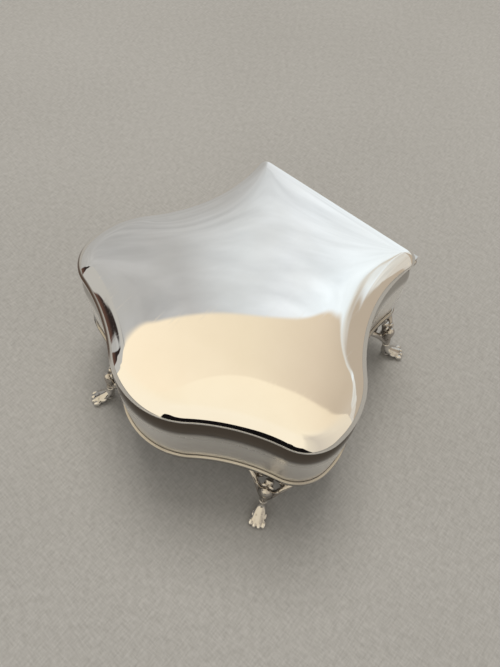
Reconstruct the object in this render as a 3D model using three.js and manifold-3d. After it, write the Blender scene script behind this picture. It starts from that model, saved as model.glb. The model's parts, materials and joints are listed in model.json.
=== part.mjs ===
// Hinged silver box on four cast feet: lobed plan, straight hinge side at the back, velvet lining on card.
// Millimetres, +Z up. The feet stand on z = 0, the hinge lies along X at the back (+Y).
import * as THREE from 'three';
import { mergeVertices } from 'three/addons/utils/BufferGeometryUtils.js';
import Module from 'manifold-3d';

const wasm = await Module();
wasm.setup();

// Plan of the lid's edge, seen from above
const boxWidth = 92;             // across the side lobes
const backY = 40;                // straight hinge side
const cornerHalf = 31;           // half the distance between the back corners
const cornerRadius = 4;
const sideLobeRadius = 24.4;
const sideLobeY = -18.2;
const lobeTurn = -8.6;           // degrees, where the side lobe tightens towards the front
const lobeFrontRadius = 12;
const frontLobeRadius = 22.6;
const frontLobeY = -25.2;
const sideHollowRadius = 47;     // between a back corner and a side lobe
const frontHollowRadius = 61;    // between a side lobe and the front lobe
const planCentreY = -3;          // point that the dome rises to

// Base and wall
const footHeight = 17.2;
const basePlateThickness = 1;
const baseRimHeight = 1.8;
const baseRimProjection = 1;     // beyond the lid's edge
const wallInset = 0.45;          // behind the lid's edge
const wallThickness = 0.9;
const wallRise = 25.4;           // base plate to the wall's top edge
const shoulderRadius = 4.5;
const shoulderTurn = 62;         // degrees, how far the shoulder turns in under the lid
const bezelThickness = 0.8;
const bezelDepth = 4.2;          // below the wall's top edge
const bezelStand = 1.3;          // above the lid's seat

// Lid
const lidGap = 0.25;             // between the wall's top edge and the lid
const lidRimThickness = 1.1;
const lidRimRounding = 0.25;
const lidFit = 0.35;             // between the bezel and the lid's frame
const panelStep = 0.25;          // panel's edge behind the frame's edge
const panelThickness = 0.8;
const panelSkirt = 0.2;
const rollRadius = 2.6;
const rollTurn = 83;             // degrees
const domeRise = 2.2;

// Hinge
const hingeInset = 0.2;          // axis in front of the lid's back edge
const hingeEnd = 1.8;            // hinge's end inside the back corner
const bearerWall = 0.7;          // bearers above, below and in front of their groove
const knuckleCount = 7;
const knuckleRadius = 1.35;
const knuckleGap = 0.15;
const grooveGap = 0.15;
const pinRadius = 0.55;
const pinGap = 0.07;
const pinHeadRadius = 0.95;
const pinHeadLength = 0.5;
const lidLipAngle = 62;          // degrees above the back horizontal
const bodyLipAngle = 44;         // degrees below the back horizontal
const lipThickness = 0.5;
const bearerSplit = 0.08;        // half the gap between the two bearers

// Lining
const liningGap = 0.3;
const wallLiningThickness = 1.4;
const boardThickness = 1;
const floorPadThickness = 3.3;
const lidPadThickness = 2.6;
const boardClearance = 0.8;      // lid's card inside the bezel
const padSetback = 1.6;          // lid's pad behind the edge of its card
const padRounding = 1.2;
const padShoulder = 3.6;         // width over which a pad's edge rounds down

// Feet
const wingHalf = 7.7;
const wingThickness = 1.5;
const wingBar = 1.25;            // width of the scroll bars round the piercings
const piercingRoof = 0.9;        // metal above a piercing
const piercingReach = 2;         // inner side of a piercing from the leg's middle
const piercingSill = 4.4;        // lowest point of a piercing below the base
const legReach = 3.2;            // leg's axis outside the base rim
const ankleHeight = 6.4;
const ankleRadius = 1.1;
const shankRadius = 1.3;         // between the ankle and the paw
const shinHalfDepth = 1.4;       // halfway between the knee and the ankle
const shinHalfWidth = 1.8;
const kneeDrop = 5;              // knee's widest place below the base
const kneeTuck = 1.7;            // knee's middle behind the leg's axis
const kneeHalfDepth = 1.9;
const kneeHalfWidth = 2.5;
const neckTuck = 0.6;            // leg's top behind the edge of the base rim
const neckHalfDepth = 1.1;
const neckHalfWidth = 1.5;
const heelLength = 1.9;          // behind the leg's axis
const heelHalfWidth = 0.8;
const heelHeight = 1.5;
const instepLength = 0.8;        // highest place of the paw in front of the leg's axis
const instepHalfWidth = 1.6;
const pawHeight = 3.2;
const pawLength = 7.6;           // leg's axis to the tips of the toes
const pawHalfWidth = 2.6;        // over the outer toes
const toeRootHalfWidth = 2.2;
const toeRootHeight = 1.8;
const soleCut = 0.2;             // share of a paw section's height that the flat sole takes off
const toeCount = 4;
const toeRadius = 0.85;
const toeHalfLength = 1.45;
const toeHalfHeight = 1.05;
const toeLift = 0.7;             // toe's middle above the sole
const toeCurve = 0.45;           // outer toes behind the inner ones
const frontRightInset = 10.8;    // places of the front feet, in from the ends of the width
const frontLeftInset = 23;
const backFootInset = 7;         // places of the back feet, in front of the hinge side
const frontRightPawTurn = 8;     // degrees, paw against the bracket
const frontLeftPawTurn = -5;
const backPawTurn = 44;

const seam = 0.06;               // soldered or glued faces
const sharpestCorner = 0.3;      // radius that a corner keeps at any inset
const weld = 1e-5;               // points closer than this are one

// Straight pieces in each arc
const cornerSteps = 4;
const sideHollowSteps = 7;
const sideLobeSteps = 5;
const lobeFrontSteps = 6;
const frontHollowSteps = 4;
const frontLobeSteps = 4;
const rimSteps = 4;
const rollSteps = 4;
const insideRollSteps = 2;
const shoulderSteps = 4;
const insideShoulderSteps = 3;
const padSteps = 2;
const barrelSteps = 10;
const bracketSteps = 3;
const legSides = 10;
const pinSides = 12;
const toeSides = [7, 5];         // round and along

const radians = THREE.MathUtils.degToRad;

// Heights that follow from the sizes
const basePlateTop = footHeight + basePlateThickness;
const wallFoot = basePlateTop + seam;
const wallTop = wallFoot + wallRise;
const lidSeat = wallTop + lidGap;
const panelFoot = lidSeat + lidRimThickness + seam;
const rollFoot = panelFoot + panelSkirt;
const domeFoot = rollFoot + rollRadius * Math.sin(radians(rollTurn));
const hingeY = backY - hingeInset;
const grooveRadius = knuckleRadius + grooveGap;
const lipRadius = grooveRadius + lipThickness;
const bearerSize = grooveRadius + bearerWall;
const hingeZ = lidSeat - bearerSize;
const hingeHalf = cornerHalf - hingeEnd;
const shoulderInset = wallInset + shoulderRadius * (1 - Math.cos(radians(shoulderTurn)));
const shoulderFoot = wallTop - shoulderRadius * Math.sin(radians(shoulderTurn));
const bezelInset = shoulderInset + wallThickness + seam;
const lidBoardInset = bezelInset + bezelThickness + boardClearance;
const lidPadInset = lidBoardInset + padSetback;
const wallLiningInset = wallInset + wallThickness + liningGap;
const floorInset = wallLiningInset + wallLiningThickness + liningGap;

// Finishes
const silver = { color: 0xd9d6cf, roughness: 0.08, metalness: 1 };
const castSilver = { color: 0xcfcbc2, roughness: 0.16, metalness: 1 };
const velvet = { color: 0x2b2f5c, roughness: 0.95, metalness: 0 };
const card = { color: 0xb9ab90, roughness: 0.9, metalness: 0 };

// Crossing of two circles, on the right-hand side of the line from a to b
function crossing(a, radiusA, b, radiusB) {
  const along = b.clone().sub(a);
  const distance = along.length();
  along.normalize();
  const reach = (radiusA ** 2 - radiusB ** 2 + distance ** 2) / (2 * distance);
  const height = Math.sqrt(radiusA ** 2 - reach ** 2);
  const aside = new THREE.Vector2(along.y, -along.x);
  return a.clone().addScaledVector(along, reach).addScaledVector(aside, height);
}

const angleFrom = (centre, point) => point.clone().sub(centre).angle();

// Centres of the arcs on the right-hand half of the plan
const sideLobe = new THREE.Vector2(boxWidth / 2 - sideLobeRadius, sideLobeY);
const turn = new THREE.Vector2(Math.cos(radians(lobeTurn)), Math.sin(radians(lobeTurn)));
const lobeFront = sideLobe.clone().addScaledVector(turn, sideLobeRadius - lobeFrontRadius);
const frontLobe = new THREE.Vector2(0, frontLobeY);
const backCorner = new THREE.Vector2(cornerHalf, backY);
const sideHollow = crossing(
  sideLobe, sideHollowRadius + sideLobeRadius, backCorner, sideHollowRadius);
const frontHollow = crossing(
  frontLobe, frontHollowRadius + frontLobeRadius, lobeFront, frontHollowRadius + lobeFrontRadius);

// Points of an arc after its first one, the short way round
function arc(centre, radius, from, to, count) {
  let sweep = to - from;
  if (sweep > Math.PI) sweep -= 2 * Math.PI;
  if (sweep < -Math.PI) sweep += 2 * Math.PI;
  return Array.from({ length: count }, (_, i) => {
    const angle = from + sweep * (i + 1) / count;
    return new THREE.Vector2(centre.x + radius * Math.cos(angle), centre.y + radius * Math.sin(angle));
  });
}

// Right-hand half of the outline at an inset, from the middle of the back to the front tip
function halfOutline(inset) {
  const fillet = Math.max(cornerRadius - inset, sharpestCorner);
  const filletY = backY - inset - fillet;
  const hollow = sideHollowRadius + inset;
  const filletX = sideHollow.x - Math.sqrt((hollow + fillet) ** 2 - (filletY - sideHollow.y) ** 2);
  const corner = new THREE.Vector2(filletX, filletY);
  return [
    new THREE.Vector2(0, backY - inset),
    new THREE.Vector2(filletX, backY - inset),
    ...arc(corner, fillet, Math.PI / 2, angleFrom(corner, sideHollow), cornerSteps),
    ...arc(sideHollow, hollow,
      angleFrom(sideHollow, corner), angleFrom(sideHollow, sideLobe), sideHollowSteps),
    ...arc(sideLobe, sideLobeRadius - inset,
      angleFrom(sideLobe, sideHollow), radians(lobeTurn), sideLobeSteps),
    ...arc(lobeFront, lobeFrontRadius - inset,
      radians(lobeTurn), angleFrom(lobeFront, frontHollow), lobeFrontSteps),
    ...arc(frontHollow, frontHollowRadius + inset,
      angleFrom(frontHollow, lobeFront), angleFrom(frontHollow, frontLobe), frontHollowSteps),
    ...arc(frontLobe, frontLobeRadius - inset,
      angleFrom(frontLobe, frontHollow), -Math.PI / 2, frontLobeSteps),
  ];
}

// Whole outline at an inset and a height, anticlockwise; a share below 1 draws it in towards the plan's
// centre and rounds it, so that the dome has no creases
function planRing(inset, z, share = 1) {
  const right = halfOutline(inset);
  const left = right.slice(1, -1).reverse().map((p) => new THREE.Vector2(-p.x, p.y));
  const centre = new THREE.Vector2(0, planCentreY);
  return [...right, ...left].reverse().map((p) => {
    const spoke = p.sub(centre);
    const length = share * (share * spoke.length() + (1 - share) * boxWidth / 2);
    spoke.setLength(length).add(centre);
    return new THREE.Vector3(spoke.x, spoke.y, z);
  });
}

// Closed body through rings of equal length: joined end to end, or capped from a point in each end ring
function loft(rings, caps) {
  const count = rings[0].length;
  const points = rings.flat();
  const faces = [];
  const last = caps ? rings.length - 1 : rings.length;
  for (let k = 0; k < last; k += 1) {
    const lower = k * count;
    const upper = ((k + 1) % rings.length) * count;
    for (let i = 0; i < count; i += 1) {
      const next = (i + 1) % count;
      faces.push(lower + i, lower + next, upper + next, lower + i, upper + next, upper + i);
    }
  }
  if (caps) {
    const end = last * count;
    points.push(caps[0], caps[1]);
    for (let i = 0; i < count; i += 1) {
      const next = (i + 1) % count;
      faces.push(points.length - 2, next, i, points.length - 1, end + i, end + next);
    }
  }
  const geometry = new THREE.BufferGeometry().setFromPoints(points);
  geometry.setIndex(faces);
  return geometry;
}

// Ring-shaped body from its section, listed up the outside and down the inside
const hoop = (section) => loft(section.map(([inset, z]) => planRing(inset, z)), null);

// Disc-shaped body from its half section, listed from the middle of the underside to the middle of the top
function disc(section, bottom, top) {
  const rings = section.map(([inset, z, share]) => planRing(inset, z, share));
  return loft(rings, [new THREE.Vector3(0, planCentreY, bottom), new THREE.Vector3(0, planCentreY, top)]);
}

const steps = (count) => Array.from({ length: count + 1 }, (_, i) => i / count);

// Solids for cuts and joins
function solidOf(geometry) {
  const bare = geometry.index ? geometry.clone() : mergeVertices(geometry);
  bare.deleteAttribute('normal');
  bare.deleteAttribute('uv');
  const merged = mergeVertices(bare, weld);
  return new wasm.Manifold(new wasm.Mesh({
    numProp: 3,
    vertProperties: new Float32Array(merged.attributes.position.array),
    triVerts: new Uint32Array(merged.index.array),
  }));
}

function geometryOf(solid) {
  const mesh = solid.getMesh();
  const geometry = new THREE.BufferGeometry();
  geometry.setAttribute('position', new THREE.BufferAttribute(mesh.vertProperties, 3));
  geometry.setIndex(new THREE.BufferAttribute(mesh.triVerts, 1));
  return geometry;
}

const box = new THREE.Group();

function add(name, geometry, finish, place = box) {
  geometry.computeVertexNormals();
  const mesh = new THREE.Mesh(geometry, new THREE.MeshStandardMaterial(finish));
  mesh.name = name;
  place.add(mesh);
}

// Base plate, and the half-round wire round it
add('base_plate', disc([
  [wallInset + seam, footHeight], [wallInset + seam, basePlateTop],
], footHeight, basePlateTop), silver);

const rimMiddle = footHeight + baseRimHeight / 2;
const rimBack = wallInset - seam;
const rimBulge = steps(rimSteps).map((s) => {
  const angle = (s - 0.5) * Math.PI;
  return [
    rimBack - (rimBack + baseRimProjection) * Math.cos(angle),
    rimMiddle + Math.sin(angle) * baseRimHeight / 2,
  ];
});
add('base_rim', hoop(rimBulge), silver);

// Wall with its rounded shoulder, cut away at the back for the hinge
const shoulder = (radius, count) => steps(count).map((s) => {
  const angle = s * radians(shoulderTurn);
  return [wallInset + shoulderRadius - radius * Math.cos(angle), shoulderFoot + radius * Math.sin(angle)];
});
const wallSection = [
  [wallInset, wallFoot],
  ...shoulder(shoulderRadius, shoulderSteps),
  ...shoulder(shoulderRadius - wallThickness, insideShoulderSteps).reverse(),
  [wallInset + wallThickness, wallFoot],
];
const notchFoot = hingeZ - bearerSize - seam;
const notchHeight = lidSeat - notchFoot;
const notchDepth = bezelInset - seam + 2 * baseRimProjection;
const notch = new THREE.BoxGeometry(2 * (hingeHalf + knuckleGap), notchDepth, notchHeight);
notch.translate(0, backY - bezelInset + seam + notchDepth / 2, notchFoot + notchHeight / 2);
add('body_wall', geometryOf(solidOf(hoop(wallSection)).subtract(solidOf(notch))), silver);

const bezelFoot = wallTop - bezelDepth;
const bezelTop = lidSeat + bezelStand;
add('body_bezel', hoop([
  [bezelInset, bezelFoot], [bezelInset, bezelTop],
  [bezelInset + bezelThickness, bezelTop], [bezelInset + bezelThickness, bezelFoot],
]), silver);

// Lid: flat frame, and the domed panel with its rolled edge
const frameTop = lidSeat + lidRimThickness;
const frameInner = bezelInset - lidFit;
add('lid_rim', hoop([
  [lidRimRounding, lidSeat], [0, lidSeat + lidRimRounding], [0, frameTop - lidRimRounding],
  [lidRimRounding, frameTop], [frameInner, frameTop], [frameInner, lidSeat],
]), silver);

const rollInset = panelStep + rollRadius;
const roll = (radius, count) => steps(count).map((s) => {
  const angle = s * radians(rollTurn);
  return [rollInset - radius * Math.cos(angle), rollFoot + radius * Math.sin(angle)];
});
const domeInset = rollInset - rollRadius * Math.cos(radians(rollTurn));
const domeAt = (share, rise) => rise * (1 - share ** 2);
const domeRings = (inset, foot, rise, shares) => shares.map(
  (share) => [inset, foot + domeAt(share, rise), share]);
const domeShares = [0.3, 0.6, 0.85];
const outerRoll = roll(rollRadius, rollSteps);
const innerRoll = roll(rollRadius - panelThickness, insideRollSteps);
const underside = innerRoll.at(-1);
add('lid_panel', disc([
  ...domeRings(underside[0], underside[1], domeRise, domeShares),
  ...innerRoll.reverse(),
  [panelStep + panelThickness, panelFoot],
  [panelStep, panelFoot],
  ...outerRoll,
  ...domeRings(domeInset, domeFoot, domeRise, domeShares.toReversed()),
], underside[1] + domeRise, domeFoot + domeRise), silver);

// Lining of the lid: card under the dome, velvet pad under the card
const boardTop = underside[1] - liningGap;
const boardFoot = boardTop - boardThickness;
const boardShares = [0.55, 1];
add('lid_board', disc([
  ...domeRings(lidBoardInset, boardFoot, domeRise, boardShares),
  ...domeRings(lidBoardInset, boardTop, domeRise, boardShares.toReversed()),
], boardFoot + domeRise, boardTop + domeRise), card);

// Edge of a pad that rounds over from its side to its soft face, up or down
const padEdge = (inset, face, side) => steps(padSteps).map((s) => {
  const angle = s * Math.PI / 2;
  return [inset + padShoulder * (1 - Math.cos(angle)), face - side * padRounding * (1 - Math.sin(angle))];
});

const lidPadTop = boardFoot - seam;
const lidPadFoot = lidPadTop - lidPadThickness;
add('lid_pad', disc([
  ...padEdge(lidPadInset, lidPadFoot, -1).reverse(),
  [lidPadInset, lidPadTop],
  ...domeRings(lidPadInset, lidPadTop, domeRise, boardShares.slice(0, -1).reverse()),
], lidPadFoot, lidPadTop + domeRise), velvet);

// Lining of the body: strip on the wall, card on the floor, velvet pad on the card
const liningFoot = basePlateTop + liningGap / 2;
const liningTop = bezelFoot - 2 * liningGap;
add('wall_lining', hoop([
  [wallLiningInset, liningFoot], [wallLiningInset, liningTop],
  [wallLiningInset + wallLiningThickness, liningTop], [wallLiningInset + wallLiningThickness, liningFoot],
]), velvet);

const floorTop = liningFoot + boardThickness;
add('floor_board', disc([[floorInset, liningFoot], [floorInset, floorTop]], liningFoot, floorTop), card);

const floorPadFoot = floorTop + seam;
const floorPadTop = floorPadFoot + floorPadThickness;
add('floor_pad', disc([
  [floorInset, floorPadFoot],
  ...padEdge(floorInset, floorPadTop, 1),
], floorPadFoot, floorPadTop), velvet);

// Hinge: sections are drawn about the axis with x towards the back and y up, then run along X
const hinge = new THREE.Group();
hinge.position.set(0, hingeY, hingeZ);
box.add(hinge);
const alongX = new THREE.Matrix4().makeBasis(
  new THREE.Vector3(0, 1, 0), new THREE.Vector3(0, 0, 1), new THREE.Vector3(1, 0, 0));

function run(shape, from, to, arcSteps) {
  const geometry = new THREE.ExtrudeGeometry(
    shape, { depth: to - from, bevelEnabled: false, curveSegments: arcSteps });
  geometry.translate(0, 0, from);
  return geometry.applyMatrix4(alongX);
}

const splitAngle = Math.asin(bearerSplit / grooveRadius);
const lidLip = radians(lidLipAngle);
const bodyLip = -radians(bodyLipAngle);

const lidBearerFront = 2 * bearerSplit - bearerSize;
const lidBearer = new THREE.Shape();
lidBearer.moveTo(lidBearerFront, bearerSplit);
lidBearer.absarc(0, 0, grooveRadius, Math.PI - splitAngle, lidLip, true);
lidBearer.lineTo(lipRadius * Math.cos(lidLip), lipRadius * Math.sin(lidLip));
lidBearer.lineTo(lipRadius * Math.cos(lidLip), bearerSize - seam);
lidBearer.lineTo(lidBearerFront, bearerSize - seam);
lidBearer.closePath();
add('hinge_lid_bearer', run(lidBearer, -hingeHalf, hingeHalf, barrelSteps), silver, hinge);

const bearerBack = backY - bezelInset + 2 * seam - hingeY;
const bodyBearer = new THREE.Shape();
bodyBearer.moveTo(bearerBack, -bearerSize);
bodyBearer.lineTo(lipRadius * Math.cos(bodyLip), -bearerSize);
bodyBearer.lineTo(lipRadius * Math.cos(bodyLip), lipRadius * Math.sin(bodyLip));
bodyBearer.absarc(0, 0, grooveRadius, bodyLip, -Math.PI + splitAngle, true);
bodyBearer.lineTo(-bearerSize, -bearerSplit);
bodyBearer.lineTo(-bearerSize, wallTop - hingeZ);
bodyBearer.lineTo(bearerBack, wallTop - hingeZ);
bodyBearer.closePath();
add('hinge_body_bearer', run(bodyBearer, -hingeHalf, hingeHalf, barrelSteps), silver, hinge);

const knuckleShape = new THREE.Shape().absarc(0, 0, knuckleRadius, 0, 2 * Math.PI, false);
knuckleShape.holes.push(new THREE.Path().absarc(0, 0, pinRadius + pinGap, 0, 2 * Math.PI, true));
const knuckleLength = (2 * hingeHalf - (knuckleCount - 1) * knuckleGap) / knuckleCount;
for (let i = 0; i < knuckleCount; i += 1) {
  const from = -hingeHalf + i * (knuckleLength + knuckleGap);
  add(`hinge_knuckle_${i + 1}`, run(knuckleShape, from, from + knuckleLength, barrelSteps), silver, hinge);
}

const pinEnd = hingeHalf + pinGap + pinHeadLength;
const headFoot = hingeHalf + pinGap;
const pin = new THREE.LatheGeometry([
  [0, -pinEnd], [pinRadius, -pinEnd], [pinHeadRadius, -headFoot - pinHeadLength / 2],
  [pinHeadRadius, -headFoot], [pinRadius, -headFoot], [pinRadius, headFoot],
  [pinHeadRadius, headFoot], [pinHeadRadius, headFoot + pinHeadLength / 2], [pinRadius, pinEnd], [0, pinEnd],
].map(([radius, along]) => new THREE.Vector2(radius, along)), pinSides);
pin.rotateZ(-Math.PI / 2);
add('hinge_pin', mergeVertices(pin.deleteAttribute('uv').deleteAttribute('normal')), silver, hinge);

// Feet, each drawn with x pointing out from the base rim and y along it
const footTop = footHeight - seam;

function ellipse(centre, across, up) {
  return Array.from({ length: legSides }, (_, i) => {
    const angle = 2 * Math.PI * i / legSides;
    return centre.clone().addScaledVector(across, Math.cos(angle)).addScaledVector(up, Math.sin(angle));
  });
}

const tapered = (sections) => loft(
  sections.map(([centre, across, up]) => ellipse(centre, across, up)), [sections[0][0], sections.at(-1)[0]]);
const middle = (a, b) => (a + b) / 2;

// Bracket: triangular plate leaning out from the base, with a piercing on each side of the knee
function bracket() {
  const wingFoot = footTop - wingBar;
  const bend = wingFoot - wingBar;
  const plateFoot = ankleHeight + ankleRadius;
  const plate = new THREE.Shape();
  plate.moveTo(-wingHalf, footTop);
  plate.lineTo(-wingHalf, wingFoot);
  plate.quadraticCurveTo(-kneeHalfWidth, bend, -ankleRadius, plateFoot);
  plate.lineTo(ankleRadius, plateFoot);
  plate.quadraticCurveTo(kneeHalfWidth, bend, wingHalf, wingFoot);
  plate.lineTo(wingHalf, footTop);
  plate.closePath();
  for (const side of [-1, 1]) {
    const piercing = new THREE.Path();
    piercing.moveTo(side * (wingHalf - 2 * wingBar), footTop - piercingRoof);
    piercing.lineTo(side * piercingReach, footTop - piercingRoof);
    piercing.lineTo(side * piercingReach, footTop - piercingSill);
    piercing.closePath();
    plate.holes.push(piercing);
  }
  const front = -baseRimProjection / 2;
  const lean = (legReach - front + wingThickness / 2) / (footTop - ankleHeight);
  const slope = new THREE.Matrix4().makeShear(0, 0, 0, 0, -lean, 0);
  const geometry = run(plate, front - wingThickness, front, bracketSteps);
  return geometry.applyMatrix4(slope).translate(lean * footTop, 0, 0);
}

// Leg: knee swelling out of the bracket, then the narrow ankle down to the paw
function leg() {
  const level = (x, z, halfDepth, halfWidth) => [
    new THREE.Vector3(x, 0, z), new THREE.Vector3(halfDepth, 0, 0), new THREE.Vector3(0, halfWidth, 0)];
  const kneeX = legReach - kneeTuck;
  const kneeZ = footTop - kneeDrop;
  return tapered([
    level(legReach, pawHeight / 2, shankRadius, shankRadius),
    level(legReach, pawHeight, shankRadius, shankRadius),
    level(legReach, ankleHeight, ankleRadius, ankleRadius),
    level(middle(legReach, kneeX), middle(ankleHeight, kneeZ), shinHalfDepth, shinHalfWidth),
    level(kneeX, kneeZ, kneeHalfDepth, kneeHalfWidth),
    level(middle(kneeX, -neckTuck), middle(kneeZ, footTop),
      kneeHalfDepth, middle(kneeHalfWidth, neckHalfWidth)),
    level(-neckTuck, footTop, neckHalfDepth, neckHalfWidth),
  ]);
}

// Paw: widening from the heel, with a row of toes, turned about the leg
function paw(pawTurn) {
  const cross = (x, halfWidth, height) => [
    new THREE.Vector3(x, 0, middle(-soleCut, 1) * height),
    new THREE.Vector3(0, halfWidth, 0),
    new THREE.Vector3(0, 0, middle(soleCut, 1) * height)];
  const toeX = pawLength - toeHalfLength;
  let whole = solidOf(tapered([
    cross(-heelLength, heelHalfWidth, heelHeight),
    cross(-heelLength / 2, middle(heelHalfWidth, instepHalfWidth), middle(heelHeight, pawHeight)),
    cross(instepLength, instepHalfWidth, pawHeight),
    cross(middle(instepLength, toeX), instepHalfWidth, middle(pawHeight, toeRootHeight)),
    cross(toeX, toeRootHalfWidth, toeRootHeight),
  ]));
  for (const share of steps(toeCount - 1)) {
    const place = 2 * share - 1;
    const toe = new THREE.SphereGeometry(1, ...toeSides).scale(toeHalfLength, toeRadius, toeHalfHeight);
    toe.translate(toeX - toeCurve * place ** 2, place * (pawHalfWidth - toeRadius), toeLift);
    whole = whole.add(solidOf(toe));
  }
  return whole.rotate([0, 0, pawTurn]).translate([legReach, 0, 0]);
}

// The whole casting, cut flat where it stands
function foot(pawTurn) {
  const reach = 2 * (legReach + pawLength);
  const floor = new THREE.BoxGeometry(reach, reach, reach).translate(0, 0, -reach / 2);
  const casting = solidOf(bracket()).add(solidOf(leg())).add(paw(pawTurn));
  return geometryOf(casting.subtract(solidOf(floor)));
}

// Places round the base rim: on a front hollow at a given x, or on a side hollow at a given y
function onFrontHollow(x) {
  const side = Math.sign(x);
  const rise = Math.sqrt((frontHollowRadius - baseRimProjection) ** 2 - (Math.abs(x) - frontHollow.x) ** 2);
  const y = frontHollow.y + rise;
  return { x, y, facing: Math.atan2(frontHollow.y - y, side * frontHollow.x - x) };
}

function onSideHollow(y, side) {
  const reach = Math.sqrt((sideHollowRadius - baseRimProjection) ** 2 - (y - sideHollow.y) ** 2);
  const x = side * (sideHollow.x - reach);
  return { x, y, facing: Math.atan2(sideHollow.y - y, side * sideHollow.x - x) };
}

const backFootY = backY - backFootInset;
for (const [name, place, pawTurn] of [
  ['foot_front_right', onFrontHollow(boxWidth / 2 - frontRightInset), frontRightPawTurn],
  ['foot_front_left', onFrontHollow(frontLeftInset - boxWidth / 2), frontLeftPawTurn],
  ['foot_back_right', onSideHollow(backFootY, 1), backPawTurn],
  ['foot_back_left', onSideHollow(backFootY, -1), -backPawTurn],
]) {
  const stand = new THREE.Group();
  stand.position.set(place.x, place.y, 0);
  stand.rotation.z = place.facing;
  box.add(stand);
  add(name, foot(pawTurn), castSilver, stand);
}

// The origin is under the middle of the box's outline, hinge barrel included
const frontTip = frontLobeY - frontLobeRadius - baseRimProjection;
const backTip = hingeY + Math.max(knuckleRadius, lipRadius * Math.cos(bodyLip));
box.position.y = -(frontTip + backTip) / 2;

export default box;
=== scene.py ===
import json
import math
import bpy
import numpy as np
from mathutils import Euler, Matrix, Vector


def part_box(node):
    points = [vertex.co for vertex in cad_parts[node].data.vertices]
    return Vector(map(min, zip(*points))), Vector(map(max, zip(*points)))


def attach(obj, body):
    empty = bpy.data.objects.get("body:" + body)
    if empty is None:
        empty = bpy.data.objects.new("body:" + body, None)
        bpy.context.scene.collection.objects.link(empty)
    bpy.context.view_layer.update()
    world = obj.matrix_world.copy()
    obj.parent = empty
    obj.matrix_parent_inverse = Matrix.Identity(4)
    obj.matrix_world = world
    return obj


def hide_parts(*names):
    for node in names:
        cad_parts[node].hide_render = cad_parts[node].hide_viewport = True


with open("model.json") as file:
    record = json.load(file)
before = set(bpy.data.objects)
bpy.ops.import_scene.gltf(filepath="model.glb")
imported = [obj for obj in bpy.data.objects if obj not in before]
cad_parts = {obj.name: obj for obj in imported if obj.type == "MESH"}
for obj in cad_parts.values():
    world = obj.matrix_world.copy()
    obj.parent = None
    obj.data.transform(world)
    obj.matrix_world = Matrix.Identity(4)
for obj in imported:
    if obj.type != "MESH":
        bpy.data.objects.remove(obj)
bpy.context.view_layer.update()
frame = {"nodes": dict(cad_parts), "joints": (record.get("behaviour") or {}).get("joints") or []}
mm = 0.001  # the script's own sizes are millimetres, the frame is in metres
seam = 0.06  # soldered or glued faces
fullTurn = 2 * math.pi
rightAngle = math.pi / 2
print("frame loaded:", len(frame["nodes"]), "nodes")

# Plan of the lid's edge, hinge side at +Y, drawn before it is moved into the frame
plan = dict(
    width=92, backY=40, cornerHalf=31, cornerRadius=4, sharpestCorner=0.3,
    sideLobeRadius=24.4, sideLobeY=-18.2, lobeTurn=math.radians(-8.6), lobeFrontRadius=12,
    frontLobeRadius=22.6, frontLobeY=-25.2, sideHollowRadius=47, frontHollowRadius=61,
    backSteps=24, cornerSteps=12, sideHollowSteps=44, sideLobeSteps=30,
    lobeFrontSteps=30, frontHollowSteps=30, frontLobeSteps=24,
    domeCentreY=-3, cornerSoftening=0.6, leastSoftening=0.005, spokes=720,
)
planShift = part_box("lid_rim")[1].y / mm - plan["backY"]


def span(node):
    low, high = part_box(node)
    return low.z / mm, high.z / mm


def crossing(a, radiusA, b, radiusB):
    along = b - a
    distance = np.linalg.norm(along)
    along = along / distance
    reach = (radiusA ** 2 - radiusB ** 2 + distance ** 2) / (2 * distance)
    aside = np.array([along[1], -along[0]])
    return a + along * reach + aside * math.sqrt(radiusA ** 2 - reach ** 2)


def angleFrom(centre, point):
    return math.atan2(point[1] - centre[1], point[0] - centre[0])


def arcPoints(centre, radius, start, end, count):
    sweep = (end - start + math.pi) % fullTurn - math.pi
    angles = start + sweep * np.arange(1, count + 1) / count
    return np.column_stack((centre[0] + radius * np.cos(angles), centre[1] + radius * np.sin(angles)))


# Centres of the arcs on the right-hand half
sideLobe = np.array([plan["width"] / 2 - plan["sideLobeRadius"], plan["sideLobeY"]])
lobeTurn = np.array([math.cos(plan["lobeTurn"]), math.sin(plan["lobeTurn"])])
lobeFront = sideLobe + (plan["sideLobeRadius"] - plan["lobeFrontRadius"]) * lobeTurn
frontLobe = np.array([0, plan["frontLobeY"]])
sideHollow = crossing(
    sideLobe, plan["sideHollowRadius"] + plan["sideLobeRadius"],
    np.array([plan["cornerHalf"], plan["backY"]]), plan["sideHollowRadius"])
frontHollow = crossing(
    frontLobe, plan["frontHollowRadius"] + plan["frontLobeRadius"],
    lobeFront, plan["frontHollowRadius"] + plan["lobeFrontRadius"])


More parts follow.
